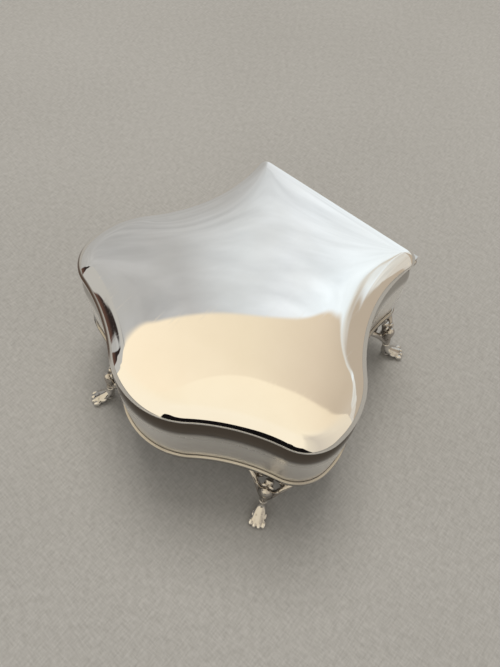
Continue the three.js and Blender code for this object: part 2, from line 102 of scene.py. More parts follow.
def halfOutline(inset):
    fillet = max(plan["cornerRadius"] - inset, plan["sharpestCorner"])
    filletY = plan["backY"] - inset - fillet
    hollow = plan["sideHollowRadius"] + inset
    filletX = sideHollow[0] - math.sqrt((hollow + fillet) ** 2 - (filletY - sideHollow[1]) ** 2)
    corner = np.array([filletX, filletY])
    back = np.linspace(0, filletX, plan["backSteps"])
    return np.vstack((
        np.column_stack((back, np.full(len(back), plan["backY"] - inset))),
        arcPoints(corner, fillet, rightAngle, angleFrom(corner, sideHollow), plan["cornerSteps"]),
        arcPoints(sideHollow, hollow, angleFrom(sideHollow, corner),
                  angleFrom(sideHollow, sideLobe), plan["sideHollowSteps"]),
        arcPoints(sideLobe, plan["sideLobeRadius"] - inset, angleFrom(sideLobe, sideHollow),
                  plan["lobeTurn"], plan["sideLobeSteps"]),
        arcPoints(lobeFront, plan["lobeFrontRadius"] - inset, plan["lobeTurn"],
                  angleFrom(lobeFront, frontHollow), plan["lobeFrontSteps"]),
        arcPoints(frontHollow, plan["frontHollowRadius"] + inset, angleFrom(frontHollow, lobeFront),
                  angleFrom(frontHollow, frontLobe), plan["frontHollowSteps"]),
        arcPoints(frontLobe, plan["frontLobeRadius"] - inset, angleFrom(frontLobe, frontHollow),
                  -rightAngle, plan["frontLobeSteps"]),
    ))


# Length of each spoke, averaged over the spokes near it
def softened(spokes, lengths, spread):
    angles = np.arctan2(spokes[:, 1], spokes[:, 0])
    order = np.argsort(angles)
    even = np.linspace(-math.pi, math.pi, plan["spokes"], endpoint=False)
    evenLengths = np.interp(even, angles[order], lengths[order], period=fullTurn)
    turns = np.minimum(even - even[0], even[0] + fullTurn - even)
    weights = np.exp(-0.5 * (turns / max(spread, plan["leastSoftening"])) ** 2)
    smooth = np.fft.irfft(np.fft.rfft(evenLengths) * np.fft.rfft(weights / weights.sum()), len(even))
    return np.interp(angles, even, smooth, period=fullTurn)


# Outline at an inset and a height; a share below 1 draws it in towards the dome's middle and rounds it
def planRing(inset, z, share=1.0):
    right = halfOutline(inset)
    left = right[-2:0:-1] * [-1, 1]
    flat = np.vstack((right, left))[::-1]
    spokes = flat - [0, plan["domeCentreY"]]
    lengths = np.linalg.norm(spokes, axis=1)
    reach = softened(spokes, lengths, plan["cornerSoftening"] * (1 - share)) if share < 1 else lengths
    wanted = share * (share * reach + (1 - share) * plan["width"] / 2)
    flat = spokes * (wanted / lengths)[:, None] + [0, plan["domeCentreY"] + planShift]
    return np.column_stack((flat, np.full(len(flat), z)))


domeMiddle = np.array([0, plan["domeCentreY"] + planShift])


# Closed skin through rings: joined end to end, or capped with a point in each end ring
def loft(rings, caps=None):
    count = len(rings[0])
    points = [np.vstack(rings)]
    faces = []
    last = len(rings) - 1 if caps else len(rings)
    for k in range(last):
        lower = k * count
        upper = (k + 1) % len(rings) * count
        for i in range(count):
            after = (i + 1) % count
            faces.append((lower + i, lower + after, upper + after, upper + i))
    if caps:
        first = len(rings) * count
        points.append(np.array(caps))
        for i in range(count):
            after = (i + 1) % count
            faces.append((first, after, i))
            faces.append((first + 1, last * count + i, last * count + after))
    return np.vstack(points), faces


def planRings(section):
    return [planRing(*point) for point in section]


def hoop(section):
    return loft(planRings(section))


def disc(rings, bottom, top):
    return loft(rings, [(*domeMiddle, bottom), (*domeMiddle, top)])


def allRound(count):
    return np.linspace(0, fullTurn, count, endpoint=False)


# Part of a section round a middle, as (inset, z): 0 is its outer side, a right angle its top
def sectionArc(inset, z, radius, start, end, steps, rise=None):
    rise = radius if rise is None else rise
    return [(inset - radius * math.cos(a), z + rise * math.sin(a))
            for a in np.linspace(start, end, steps + 1)]


def curve(points, count):
    t = np.linspace(0, 1, count)[:, None]
    degree = len(points) - 1
    total = 0
    for i, point in enumerate(points):
        total = total + math.comb(degree, i) * t ** i * (1 - t) ** (degree - i) * np.array(point, float)
    return total


def spun(points, angle):
    cosine, sine = math.cos(angle), math.sin(angle)
    return points @ np.array([[cosine, sine, 0], [-sine, cosine, 0], [0, 0, 1]])


def meshFrom(name, points, faces, scale=mm):
    mesh = bpy.data.meshes.new(name)
    mesh.from_pydata((np.asarray(points) * scale).tolist(), [], [list(f) for f in faces])
    mesh.validate()
    mesh.update()
    return mesh


def pointsOf(mesh):
    points = np.empty(len(mesh.vertices) * 3)
    mesh.vertices.foreach_get("co", points)
    return points.reshape(-1, 3)


def movePoints(mesh, points):
    mesh.vertices.foreach_set("co", (points * mm).ravel())
    mesh.update()


def smoothShade(mesh, sharpAngle):
    mesh.polygons.foreach_set("use_smooth", [True] * len(mesh.polygons))
    mesh.set_sharp_from_angle(angle=math.radians(sharpAngle))


def coat(mesh, material):
    mesh.materials.clear()
    mesh.materials.append(material)


def addObject(name, mesh, material=None):
    obj = bpy.data.objects.new(name, mesh)
    bpy.context.scene.collection.objects.link(obj)
    if material:
        coat(mesh, material)
    return obj


def voxelSkin(obj, size):
    skin = obj.modifiers.new("skin", "REMESH")
    skin.mode = "VOXEL"
    skin.voxel_size = size


# Modifiers become a plain mesh, and the object keeps none
def bakeModifiers(obj):
    graph = bpy.context.evaluated_depsgraph_get()
    mesh = bpy.data.meshes.new_from_object(obj.evaluated_get(graph), depsgraph=graph)
    obj.modifiers.clear()
    obj.data = mesh
    return mesh


def place(obj, body, slotName, *replaced):
    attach(obj, body)
    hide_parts(*replaced)
    return obj


def makePiece(name, shape, sharpAngle, material, body, slotName, node):
    mesh = meshFrom(name, *shape)
    smoothShade(mesh, sharpAngle)
    return place(addObject(name, mesh, material), body, slotName, node)


# Node helpers, for materials, the room and Geometry Nodes
noiseSpan = (0.3, 0.7)  # most of a noise lies between these


# A node with its inputs linked to other nodes or set to constants
def addNode(tree, kind, inputs, **settings):
    node = tree.nodes.new(kind)
    for name, value in settings.items():
        setattr(node, name, value)
    for name, value in inputs.items():
        if isinstance(value, bpy.types.NodeSocket):
            tree.links.new(value, node.inputs[name])
        elif value is not None:
            node.inputs[name].default_value = value
    return node


def newMaterial(name, metallic=0.0):
    material = bpy.data.materials.new(name)
    material.use_nodes = True
    tree = material.node_tree
    shader = tree.nodes["Principled BSDF"]
    shader.inputs["Metallic"].default_value = metallic
    return material, tree, shader, tree.nodes.new("ShaderNodeTexCoord").outputs["Object"]


def dress(tree, shader, colour, roughness, normal):
    for name, value in (("Base Color", colour), ("Roughness", roughness), ("Normal", normal)):
        tree.links.new(value, shader.inputs[name])


def noise(tree, coords, scale, detail, stretch=None, turn=(0, 0, 0)):
    if stretch:
        mapping = addNode(tree, "ShaderNodeMapping", {"Vector": coords, "Scale": stretch, "Rotation": turn})
        coords = mapping.outputs["Vector"]
    texture = addNode(tree, "ShaderNodeTexNoise", {"Vector": coords, "Scale": scale, "Detail": detail})
    return texture.outputs["Fac"]


def mapRange(tree, value, fromLow, fromHigh, toLow, toHigh, smooth=False):
    limits = {"From Min": fromLow, "From Max": fromHigh, "To Min": toLow, "To Max": toHigh}
    easing = "SMOOTHSTEP" if smooth else "LINEAR"
    node = addNode(tree, "ShaderNodeMapRange", {"Value": value, **limits}, interpolation_type=easing)
    return node.outputs["Result"]


def maths(tree, operation, a, b=0):
    return addNode(tree, "ShaderNodeMath", {0: a, 1: b}, operation=operation).outputs["Value"]


# Reach along a direction or distance from a point
def measure(tree, operation, coords, vector):
    node = addNode(tree, "ShaderNodeVectorMath", {0: coords, 1: vector}, operation=operation)
    return node.outputs["Value"]


def heightOf(tree, coords):
    return addNode(tree, "ShaderNodeSeparateXYZ", {"Vector": coords}).outputs["Z"]


def ramp(tree, value, positions, colours):
    node = addNode(tree, "ShaderNodeValToRGB", {"Fac": value})
    elements = node.color_ramp.elements
    while len(elements) < len(positions):
        elements.new(0.5)
    for element, position, colour in zip(elements, positions, colours):
        element.position = position
        element.color = (*colour, 1)
    return node.outputs["Color"]


def mixColour(tree, share, a, b):
    a, b = [(*colour, 1) if isinstance(colour, tuple) else colour for colour in (a, b)]
    return addNode(tree, "ShaderNodeMix", {"Factor": share, 6: a, 7: b}, data_type="RGBA").outputs[2]


def bump(tree, height, depth, strength=1.0, normal=None):
    inputs = {"Height": height, "Distance": depth, "Strength": strength, "Normal": normal}
    return addNode(tree, "ShaderNodeBump", inputs).outputs["Normal"]


# Polished sheet: faint haze, hand-rubbed scratches in two directions, slow waves left by the hammer
polish = dict(
    clean=(0.955, 0.945, 0.925), hazy=(0.925, 0.905, 0.87), hazeScale=70, hazeStops=(0.35, 0.75),
    sharp=0.012, dull=0.06, dullHaze=(0.4, 0.8),
    scratchStretch=(2600, 70, 70), scratchTurns=(0.5, 2.0), scratchEdge=(0.68, 0.74),
    scratchRoughness=0.05, scratchDepth=0.0000015, scratchStrength=0.3,
    waveScale=38, waveDepth=0.000018,
)


def scratches(tree, coords, turn):
    lines = noise(tree, coords, 1.0, 1.0, polish["scratchStretch"], (0, 0, turn))
    return mapRange(tree, lines, *polish["scratchEdge"], 0, 1, True)


def makePolishedSilver(name, shadeAndTarnish=None, stain=None, clean=polish["clean"], hazy=polish["hazy"]):
    material, tree, shader, coords = newMaterial(name, 1.0)
    haze = noise(tree, coords, polish["hazeScale"], 4.0)
    colour = ramp(tree, haze, polish["hazeStops"], (clean, hazy))
    rubbed = maths(tree, "MAXIMUM", *[scratches(tree, coords, turn) for turn in polish["scratchTurns"]])
    roughness = mapRange(tree, haze, *polish["dullHaze"], polish["sharp"], polish["dull"], True)
    roughness = maths(tree, "ADD", roughness, maths(tree, "MULTIPLY", rubbed, polish["scratchRoughness"]))
    if shadeAndTarnish:
        uneven = mapRange(tree, haze, *noiseSpan, -shadeAndTarnish["uneven"], shadeAndTarnish["uneven"])
        height = maths(tree, "ADD", heightOf(tree, coords), uneven)
        # darkening under the lid, strongest on the camera's side: painted shade and dark reflection, with
        # some tarnish
        band = maths(tree, "MULTIPLY", mapRange(tree, height, *shadeAndTarnish["rise"], 0, 1, True),
                     mapRange(tree, height, *shadeAndTarnish["fall"], 1, shadeAndTarnish["topShare"], True))
        front = measure(tree, "DOT_PRODUCT", coords, shadeAndTarnish["towards"])
        front = mapRange(tree, front, *shadeAndTarnish["frontReach"], shadeAndTarnish["farShare"], 1, True)
        colour = mixColour(tree, maths(tree, "MULTIPLY", band, front), colour, shadeAndTarnish["colour"])
        handled = mapRange(tree, height, *shadeAndTarnish["dullRise"], shadeAndTarnish["dull"], 0, True)
        roughness = maths(tree, "ADD", roughness, handled)
    if stain:
        low = mapRange(tree, heightOf(tree, coords), *stain["rise"], 1, 0, True)
        away = measure(tree, "DISTANCE", coords, stain["middle"])
        near = mapRange(tree, away, *stain["reach"], 1, 0, True)
        colour = mixColour(tree, maths(tree, "MULTIPLY", low, near), colour, stain["colour"])
    waves = bump(tree, noise(tree, coords, polish["waveScale"], 0.0), polish["waveDepth"])
    dress(tree, shader, colour, roughness,
          bump(tree, rubbed, polish["scratchDepth"], polish["scratchStrength"], waves))
    return material


# Cast feet: bright on the high places, brown and then dark in the hollows, as the recess attribute says:
# painted shade with some tarnish. The bars grow browner towards the knee: painted shade under the box
casting = dict(
    high=(0.97, 0.96, 0.935), brown=(0.24, 0.205, 0.175), low=(0.035, 0.03, 0.025),
    kneeRise=(0.006, 0.011), hollowShare=(0.5, 0.85), barShare=(0.0, 0.5),  # from the paw to the knee
    hollow=(0.1, 0.5), dirtAndShade=(0.45, 0.75), unevenDirtAndShade=0.12, roughness=(0.05, 0.3),
    grainScale=900, grainDepth=0.00003, grainStrength=0.35,
)


def makeCastSilver():
    material, tree, shader, coords = newMaterial("castSilver", 1.0)
    recess = addNode(tree, "ShaderNodeAttribute", {}, attribute_name="recess").outputs["Fac"]
    grain = noise(tree, coords, casting["grainScale"], 3.0)
    uneven = mapRange(tree, grain, *noiseSpan, -casting["unevenDirtAndShade"], casting["unevenDirtAndShade"])
    # dark in the deepest recesses: painted shade with some tarnish
    dirtAndShade = mapRange(tree, maths(tree, "ADD", recess, uneven), *casting["dirtAndShade"], 0, 1, True)
    height = heightOf(tree, coords)
    # brown in the hollows, more towards the knee: painted shade with some tarnish
    hollows = mapRange(tree, height, *casting["kneeRise"], *casting["hollowShare"], True)
    hollows = maths(tree, "MULTIPLY", hollows, mapRange(tree, recess, *casting["hollow"], 0, 1, True))
    # brown on the bars, rising towards the knee: painted shade under the box
    bars = mapRange(tree, height, *casting["kneeRise"], *casting["barShare"], True)
    colour = mixColour(tree, maths(tree, "MAXIMUM", hollows, bars), casting["high"], casting["brown"])
    dress(tree, shader, mixColour(tree, dirtAndShade, colour, casting["low"]),
          mapRange(tree, dirtAndShade, 0, 1, *casting["roughness"]),
          bump(tree, grain, casting["grainDepth"], casting["grainStrength"]))
    return material


# Drawn tube and strip of the hinge: fine lines along the barrel
drawn = dict(
    bright=(0.62, 0.6, 0.57), worn=(0.42, 0.39, 0.35), wearScale=260, wearStops=(0.35, 0.75),
    wearRoughness=(0.06, 0.16), stretch=(30, 2500, 2500), lines=(0.4, 0.7), lineRoughness=(0, 0.1),
    lineDepth=0.00001, lineStrength=0.5,
)


def makeHingeSilver():
    material, tree, shader, coords = newMaterial("hingeSilver", 1.0)
    lines = noise(tree, coords, 1.0, 4.0, drawn["stretch"])
    wear = noise(tree, coords, drawn["wearScale"], 4.0)
    roughness = maths(tree, "ADD", mapRange(tree, wear, *noiseSpan, *drawn["wearRoughness"]),
                      mapRange(tree, lines, *drawn["lines"], *drawn["lineRoughness"]))
    dress(tree, shader, ramp(tree, wear, drawn["wearStops"], (drawn["bright"], drawn["worn"])), roughness,
          bump(tree, lines, drawn["lineDepth"], drawn["lineStrength"]))
    return material


# Velvet: short pile that leans in patches, light at grazing angles
pile = dict(
    deep=(0.008, 0.012, 0.055), lit=(0.03, 0.042, 0.15), leanStops=(0.1, 0.9),
    patchScale=75, patches=(0.35, 0.65), patchLean=(0, 0.6), tuftScale=4200, tuftLean=(0, 0.4),
    roughness=(0.8, 1.0), depth=0.00025, strength=0.6,
    sheen={"Sheen Weight": 0.75, "Sheen Roughness": 0.35, "Sheen Tint": (0.42, 0.5, 0.95, 1),
           "Specular IOR Level": 0.15},
)


def makeVelvet():
    material, tree, shader, coords = newMaterial("velvetPile")
    for name, value in pile["sheen"].items():
        shader.inputs[name].default_value = value
    patches = noise(tree, coords, pile["patchScale"], 5.0)
    tufts = noise(tree, coords, pile["tuftScale"], 2.0)
    lean = maths(tree, "ADD", mapRange(tree, patches, *pile["patches"], *pile["patchLean"], True),
                 mapRange(tree, tufts, *noiseSpan, *pile["tuftLean"]))
    dress(tree, shader, ramp(tree, lean, pile["leanStops"], (pile["deep"], pile["lit"])),
          mapRange(tree, tufts, *noiseSpan, *pile["roughness"]),
          bump(tree, lean, pile["depth"], pile["strength"]))
    return material


# Card under the velvet: pressed fibres and specks
fibre = dict(
    pale=(0.6, 0.53, 0.41), dark=(0.45, 0.38, 0.28), stretch=(500, 2400, 1500), turn=(0, 0, 0.3),
    speck=(0.25, 0.2, 0.14), speckScale=1800, speckEdge=(0.7, 0.75),
    roughness=(0.85, 0.95), depth=0.00008, strength=0.5,
)


def makeCard():
    material, tree, shader, coords = newMaterial("liningCard")
    fibres = noise(tree, coords, 1.0, 5.0, fibre["stretch"], fibre["turn"])
    specks = mapRange(tree, noise(tree, coords, fibre["speckScale"], 1.0), *fibre["speckEdge"], 0, 1, True)
    colour = ramp(tree, fibres, noiseSpan, (fibre["dark"], fibre["pale"]))
    dress(tree, shader, mixColour(tree, specks, colour, fibre["speck"]),
          mapRange(tree, fibres, *noiseSpan, *fibre["roughness"]),
          bump(tree, fibres, fibre["depth"], fibre["strength"]))
    return material


# The wall is dull where hands hold it; under the lid it is darkened, most of all on the side facing the
# camera, as painted shade and dark reflection with some tarnish; lengths in metres
shoulderShadeAndTarnish = dict(
    rise=(0.0352, 0.0382), fall=(0.0415, 0.0435), topShare=0.35, uneven=0.0003,
    colour=(0.13, 0.11, 0.092), dull=0.32, dullRise=(0.031, 0.041),
    towards=(0.61, -0.79, 0), frontReach=(0.012, 0.03), farShare=0.5,
)
# The lid has an old stain on its edge at the front left, also in metres
edgeStain = dict(
    middle=(-0.029, -0.028, 0.0455), reach=(0.017, 0.023), rise=(0.0458, 0.0464),
    colour=(0.2, 0.14, 0.11),
)
# The wire's silver is painted darker than the sheet's: painted shade that dims what it mirrors
shadedWire = dict(clean=(0.52, 0.5, 0.47), hazy=(0.34, 0.32, 0.295))
polishedSilver = makePolishedSilver("polishedSilver")
lidSilver = makePolishedSilver("lidSilver", stain=edgeStain)
wallSilver = makePolishedSilver("handledShadedSilver", shoulderShadeAndTarnish)
wireSilver = makePolishedSilver("wireSilver", **shadedWire)
castSilver = makeCastSilver()
hingeSilver = makeHingeSilver()
velvet = makeVelvet()
card = makeCard()
print("materials made")


# Geometry Nodes helpers
def newTree(name, sizes):
    tree = bpy.data.node_groups.new(name, "GeometryNodeTree")
    for label, kind in {"Geometry": "Geometry", **sizes, "Material": "Material"}.items():
        tree.interface.new_socket(name=label, in_out="INPUT", socket_type="NodeSocket" + kind)
    tree.interface.new_socket(name="Geometry", in_out="OUTPUT", socket_type="NodeSocketGeometry")
    return tree, tree.nodes.new("NodeGroupInput").outputs


def finishTree(tree, start, geometry):
    whole = addNode(tree, "GeometryNodeRealizeInstances", {"Geometry": geometry}).outputs["Geometry"]
    finish = addNode(tree, "GeometryNodeSetMaterial", {"Geometry": whole, "Material": start["Material"]})
    addNode(tree, "NodeGroupOutput", {"Geometry": finish.outputs["Geometry"]})
    return tree


def runTree(obj, tree, values):
    modifier = obj.modifiers.new("shape", "NODES")
    modifier.node_group = tree
    for item in tree.interface.items_tree:
        if item.in_out == "INPUT" and item.name in values:
            modifier[item.identifier] = values[item.name]
    return bakeModifiers(obj)


# Band with rounded edges along a closed path, centred on it
def makeBandTree():
    sizes = {"Width": "Float", "Height": "Float", "Rounding": "Float", "Steps": "Int"}
    tree, start = newTree("roundedBand", sizes)
    path = addNode(tree, "GeometryNodeMeshToCurve", {"Mesh": start["Geometry"]}).outputs["Curve"]
    path = addNode(tree, "GeometryNodeSetCurveNormal", {"Curve": path}, mode="Z_UP").outputs["Curve"]
    section = addNode(tree, "GeometryNodeCurvePrimitiveQuadrilateral",
                      {"Width": start["Width"], "Height": start["Height"]}).outputs["Curve"]
    corners = {"Curve": section, "Radius": start["Rounding"], "Count": start["Steps"]}
    section = addNode(tree, "GeometryNodeFilletCurve", corners, mode="POLY").outputs["Curve"]
    band = addNode(tree, "GeometryNodeCurveToMesh", {"Curve": path, "Profile Curve": section})
    return finishTree(tree, start, band.outputs["Mesh"])


# A row of copies of one piece along X
def makeRowTree():
    tree, start = newTree("knuckleRow", {"Count": "Int", "First": "Vector", "Step": "Vector"})
    places = {"Count": start["Count"], "Start Location": start["First"], "Offset": start["Step"]}
    line = addNode(tree, "GeometryNodeMeshLine", places).outputs["Mesh"]
    copies = addNode(tree, "GeometryNodeInstanceOnPoints", {"Points": line, "Instance": start["Geometry"]})
    return finishTree(tree, start, copies.outputs["Instances"])


# Base plate and its wire
base = dict(wallInset=0.45, edgeRounding=0.15, bandProjection=0.6, bandRounding=0.46, bandSteps=7)


def makeBase():
    low, high = span("base_plate")
    edge = base["wallInset"] + seam
    soft = base["edgeRounding"]
    rings = [planRing(edge + soft, low), planRing(edge, low + soft), planRing(edge, high - soft),
             planRing(edge + soft, high)]
    makePiece("base_plate_sheet", disc(rings, low, high), 30, polishedSilver,
              "body", "polished_silver", "base_plate")

    low, high = span("base_rim")
    inner = base["wallInset"] - seam
    loop = planRing((inner - base["bandProjection"]) / 2, (low + high) / 2) * mm
    path = bpy.data.meshes.new("base_band")
    path.from_pydata(loop.tolist(), [(i, (i + 1) % len(loop)) for i in range(len(loop))], [])
    band = addObject("base_band", path)
    mesh = runTree(band, makeBandTree(), {
        "Width": (inner + base["bandProjection"]) * mm, "Height": (high - low) * mm,
        "Rounding": base["bandRounding"] * mm, "Steps": base["bandSteps"], "Material": wireSilver})
    smoothShade(mesh, 40)
    place(band, "body", "polished_silver", "base_rim")


makeBase()
print("base made")

# Wall with its rounded shoulder, and the bezel inside it
wall = dict(
    footInset=0.45, swellInset=-0.25, topInset=2.84, thickness=0.9, shoulderRadius=8.0,
    shoulderSteps=24, riseSteps=10, notchGap=0.15, notchAbove=1, notchReach=3,
    bezelThickness=0.8, bezelRounding=0.25, bezelSteps=4,
)
bezelInset = plan["backY"] - (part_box("body_bezel")[1].y / mm - planShift)
shoulderTurn = math.acos(1 - (wall["topInset"] - wall["swellInset"]) / wall["shoulderRadius"])


def shoulderArc(radius):
    start = span("body_wall")[1] - wall["shoulderRadius"] * math.sin(shoulderTurn)
    middle = wall["swellInset"] + wall["shoulderRadius"]
    return sectionArc(middle, start, radius, 0, shoulderTurn, wall["shoulderSteps"])


# The wall is cut away where the hinge's bearer sits
def cutNotch(obj):
    low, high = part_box("hinge_body_bearer")
    half = high.x / mm + wall["notchGap"]
    front = plan["backY"] + planShift - bezelInset + seam
    corners = [(x, y, z) for x in (-half, half) for y in (front, front + wall["notchReach"] * bezelInset)
               for z in (low.z / mm - seam, high.z / mm + wall["notchAbove"])]
    sides = [(0, 1, 3, 2), (4, 6, 7, 5), (0, 4, 5, 1), (2, 3, 7, 6), (0, 2, 6, 4), (1, 5, 7, 3)]
    notch = addObject("hinge_notch", meshFrom("hinge_notch", corners, sides))
    cut = obj.modifiers.new("notch", "BOOLEAN")
    cut.operation = "DIFFERENCE"
    cut.object = notch
    cut.solver = "EXACT"
    mesh = bakeModifiers(obj)
    bpy.data.objects.remove(notch)
    return mesh


def makeWall():
    low = span("body_wall")[0]
    outer = shoulderArc(wall["shoulderRadius"])
    inner = shoulderArc(wall["shoulderRadius"] - wall["thickness"])[::-1]
    rise = np.linspace(0, 1, wall["riseSteps"])[:-1]
    lean = wall["swellInset"] + (wall["footInset"] - wall["swellInset"]) * (1 - rise) ** 2
    heights = low + (outer[0][1] - low) * rise
    section = list(zip(lean, heights)) + outer + inner
    section += list(zip(lean + wall["thickness"], heights))[::-1]
    obj = addObject("wall_sheet", meshFrom("wall_sheet", *hoop(section)), wallSilver)
    smoothShade(cutNotch(obj), 30)
    place(obj, "body", "polished_silver", "body_wall")

    low, high = span("body_bezel")
    soft = wall["bezelRounding"]
    inner = bezelInset + wall["bezelThickness"]
    section = [(bezelInset, low)]
    section += sectionArc(bezelInset + soft, high - soft, soft, 0, rightAngle, wall["bezelSteps"])
    section += sectionArc(inner - soft, high - soft, soft, rightAngle, math.pi, wall["bezelSteps"])
    section += [(inner, low)]
    makePiece("bezel_strip", hoop(section), 40, polishedSilver, "body", "polished_silver", "body_bezel")


makeWall()
print("wall made")

# Lid: frame and domed panel with a rolled edge
lid = dict(
    frameRounding=0.3, frameSteps=5, fit=0.35, step=0.05, thickness=0.8, skirt=0.2,
    rollRadius=5.5, rollTurn=math.radians(49), rollTop=math.radians(5.3), rollSteps=18,
    lowerRadius=12, rollEdge=math.radians(55), lowerSteps=6,
    insideRadius=1.8, insideMiddle=2.85, insideTurn=math.radians(83), insideSteps=9,
    rise=2.2, domeRings=60, domeSpacing=1.25, easeRings=8, easePasses=16, insideRings=12,
)


def makeLidFrame():
    low, high = span("lid_rim")
    soft = lid["frameRounding"]
    inner = bezelInset - lid["fit"]
    section = sectionArc(soft, low + soft, soft, -rightAngle, 0, lid["frameSteps"])
    section += sectionArc(soft, high - soft, soft, 0, rightAngle, lid["frameSteps"])
    section += [(inner, high), (inner, low)]
    makePiece("lid_frame", hoop(section), 40, polishedSilver, "lid", "polished_silver", "lid_rim")


# Outer roll from the cut edge up to the dome, as (inset, height): a flatter arc first, then a rounder one
def outerRoll(low):
    points = [(lid["step"], low)]
    for radius, start, end, steps in (
            (lid["lowerRadius"], lid["rollEdge"], lid["rollTurn"], lid["lowerSteps"]),
            (lid["rollRadius"], lid["rollTurn"], lid["rollTop"], lid["rollSteps"])):
        inset, height = points[-1]
        points += sectionArc(inset + radius * math.sin(start), height - radius * math.cos(start), radius,
                             rightAngle - start, rightAngle - end, steps)[1:]
    return points


def domeRings(inset, low, shares, rise):
    return [planRing(inset, low + rise * (1 - s * s), s) for s in shares]


def domeShares(count):
    return 1 - (np.arange(1, count) / count) ** lid["domeSpacing"]


def makeLidPanel():
    low, crown = span("lid_panel")
    outer = outerRoll(low + lid["skirt"])
    inner = sectionArc(lid["insideMiddle"], low + lid["skirt"], lid["insideRadius"], 0, lid["insideTurn"],
                       lid["insideSteps"])
    inside = domeRings(*inner[-1], domeShares(lid["insideRings"]), lid["rise"])[::-1]
    inside += planRings(inner[::-1] + [(lid["step"] + lid["thickness"], low)])
    outside = planRings([(lid["step"], low)] + outer)
    edge = len(outside) - 1
    outside += domeRings(*outer[-1], domeShares(lid["domeRings"]), crown - outer[-1][1])
    skin = np.array(outside)
    first, last = edge - lid["easeRings"], edge + lid["easeRings"]
    for _ in range(lid["easePasses"]):  # the roll flows into the dome
        skin[first:last] = (skin[first - 1:last - 1] + 2 * skin[first:last] + skin[first + 1:last + 1]) / 4
    shape = disc(inside + list(skin), inner[-1][1] + lid["rise"], crown)
    makePiece("lid_dome", shape, 35, lidSilver, "lid", "polished_silver", "lid_panel")


makeLidFrame()
makeLidPanel()
print("lid made")

# Hinge: two grooved bearers, a row of knuckles for each body, and the riveted pin
hinge = dict(
    knuckleCount=7, knuckleRadius=1.35, knuckleGap=0.15, grooveGap=0.15, bearerWall=0.7,
    lipThickness=0.5, lidLip=math.radians(62), bodyLip=math.radians(44), split=0.08,
    pinRadius=0.55, pinGap=0.07, headRadius=0.95, headLength=0.5, headSteps=6,
    chamfer=0.12, grooveSteps=28, sides=44,
)
axis = np.array(frame["joints"][0]["pos_m"]) / mm
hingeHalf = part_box("hinge_body_bearer")[1].x / mm


# Strip along the hinge from its section, drawn about the axis with y towards the back
def makeStrip(name, section, body, node):
    count = len(section)
    points = [(x, axis[1] + y, axis[2] + z) for x in (-hingeHalf, hingeHalf) for y, z in section]
    faces = [(i, i + count, (i + 1) % count + count, (i + 1) % count) for i in range(count)]
    faces += [tuple(range(count)), tuple(range(2 * count - 1, count - 1, -1))]
    makePiece(name, (points, faces), 30, hingeSilver, body, "hinge_silver", node)


def makeBearers():
    groove = hinge["knuckleRadius"] + hinge["grooveGap"]
    size = groove + hinge["bearerWall"]
    splitAngle = math.asin(hinge["split"] / groove)
    front = 2 * hinge["split"] - size

    def polar(radius, angle):
        return radius * math.cos(angle), radius * math.sin(angle)

    def grooveArc(start, end):
        return [polar(groove, a) for a in np.linspace(start, end, hinge["grooveSteps"])]

    lidLip = polar(groove + hinge["lipThickness"], hinge["lidLip"])
    bodyLip = polar(groove + hinge["lipThickness"], -hinge["bodyLip"])
    section = [(front, hinge["split"])] + grooveArc(math.pi - splitAngle, hinge["lidLip"])
    section += [lidLip, (lidLip[0], size - seam), (front, size - seam)]
    makeStrip("lid_bearer_strip", section, "lid", "hinge_lid_bearer")
    inside = plan["backY"] + planShift - bezelInset + 2 * seam - axis[1]
    top = span("body_wall")[1] - axis[2]
    section = [(inside, -size), (bodyLip[0], -size), bodyLip]
    section += grooveArc(-hinge["bodyLip"], -math.pi + splitAngle)
    section += [(-size, -hinge["split"]), (-size, top), (inside, top)]
    makeStrip("body_bearer_strip", section, "body", "hinge_body_bearer")


# Rings of a turned piece along X, from its profile of (along, radius)
def turnedRings(profile):
    angles = allRound(hinge["sides"])
    return [np.column_stack((np.full(len(angles), along), radius * np.cos(angles), radius * np.sin(angles)))
            for along, radius in profile]


def makeKnuckles():
    count, gap = hinge["knuckleCount"], hinge["knuckleGap"]
    length = (2 * hingeHalf - (count - 1) * gap) / count
    outer, bore, cut = hinge["knuckleRadius"], hinge["pinRadius"] + hinge["pinGap"], hinge["chamfer"]
    profile = [(0, outer - cut), (cut, outer), (length / 3, outer), (length - cut, outer),
               (length, outer - cut), (length, bore), (0, bore)]
    tree = makeRowTree()
    for body, first in (("body", 0), ("lid", 1)):
        names = [f"hinge_knuckle_{i + 1}" for i in range(first, count, 2)]
        obj = addObject(f"{body}_knuckles", meshFrom("knuckle", *loft(turnedRings(profile))))
        smoothShade(obj.data, 25)
        start = Vector((-hingeHalf + first * (length + gap), axis[1], axis[2])) * mm
        step = Vector((2 * (length + gap) * mm, 0, 0))
        runTree(obj, tree, {"Count": len(names), "First": start, "Step": step, "Material": hingeSilver})
        place(obj, body, "hinge_silver", *names)


def makePin():
    shank = hingeHalf + hinge["pinGap"]
    end = shank + hinge["headLength"]
    head = sectionArc(shank, 0, hinge["headLength"], rightAngle, math.pi, hinge["headSteps"],
                      hinge["headRadius"])[:-1]
    profile = [(-x, r) for x, r in head[::-1]]
    profile += [(-shank, hinge["pinRadius"]), (shank, hinge["pinRadius"])] + head
    points, faces = loft(turnedRings(profile), [(-end, 0, 0), (end, 0, 0)])
    makePiece("rivet_pin", (points + [0, axis[1], axis[2]], faces), 40, hingeSilver,
              "body", "hinge_silver", "hinge_pin")


makeBearers()
makeKnuckles()
makePin()
print("hinge made")

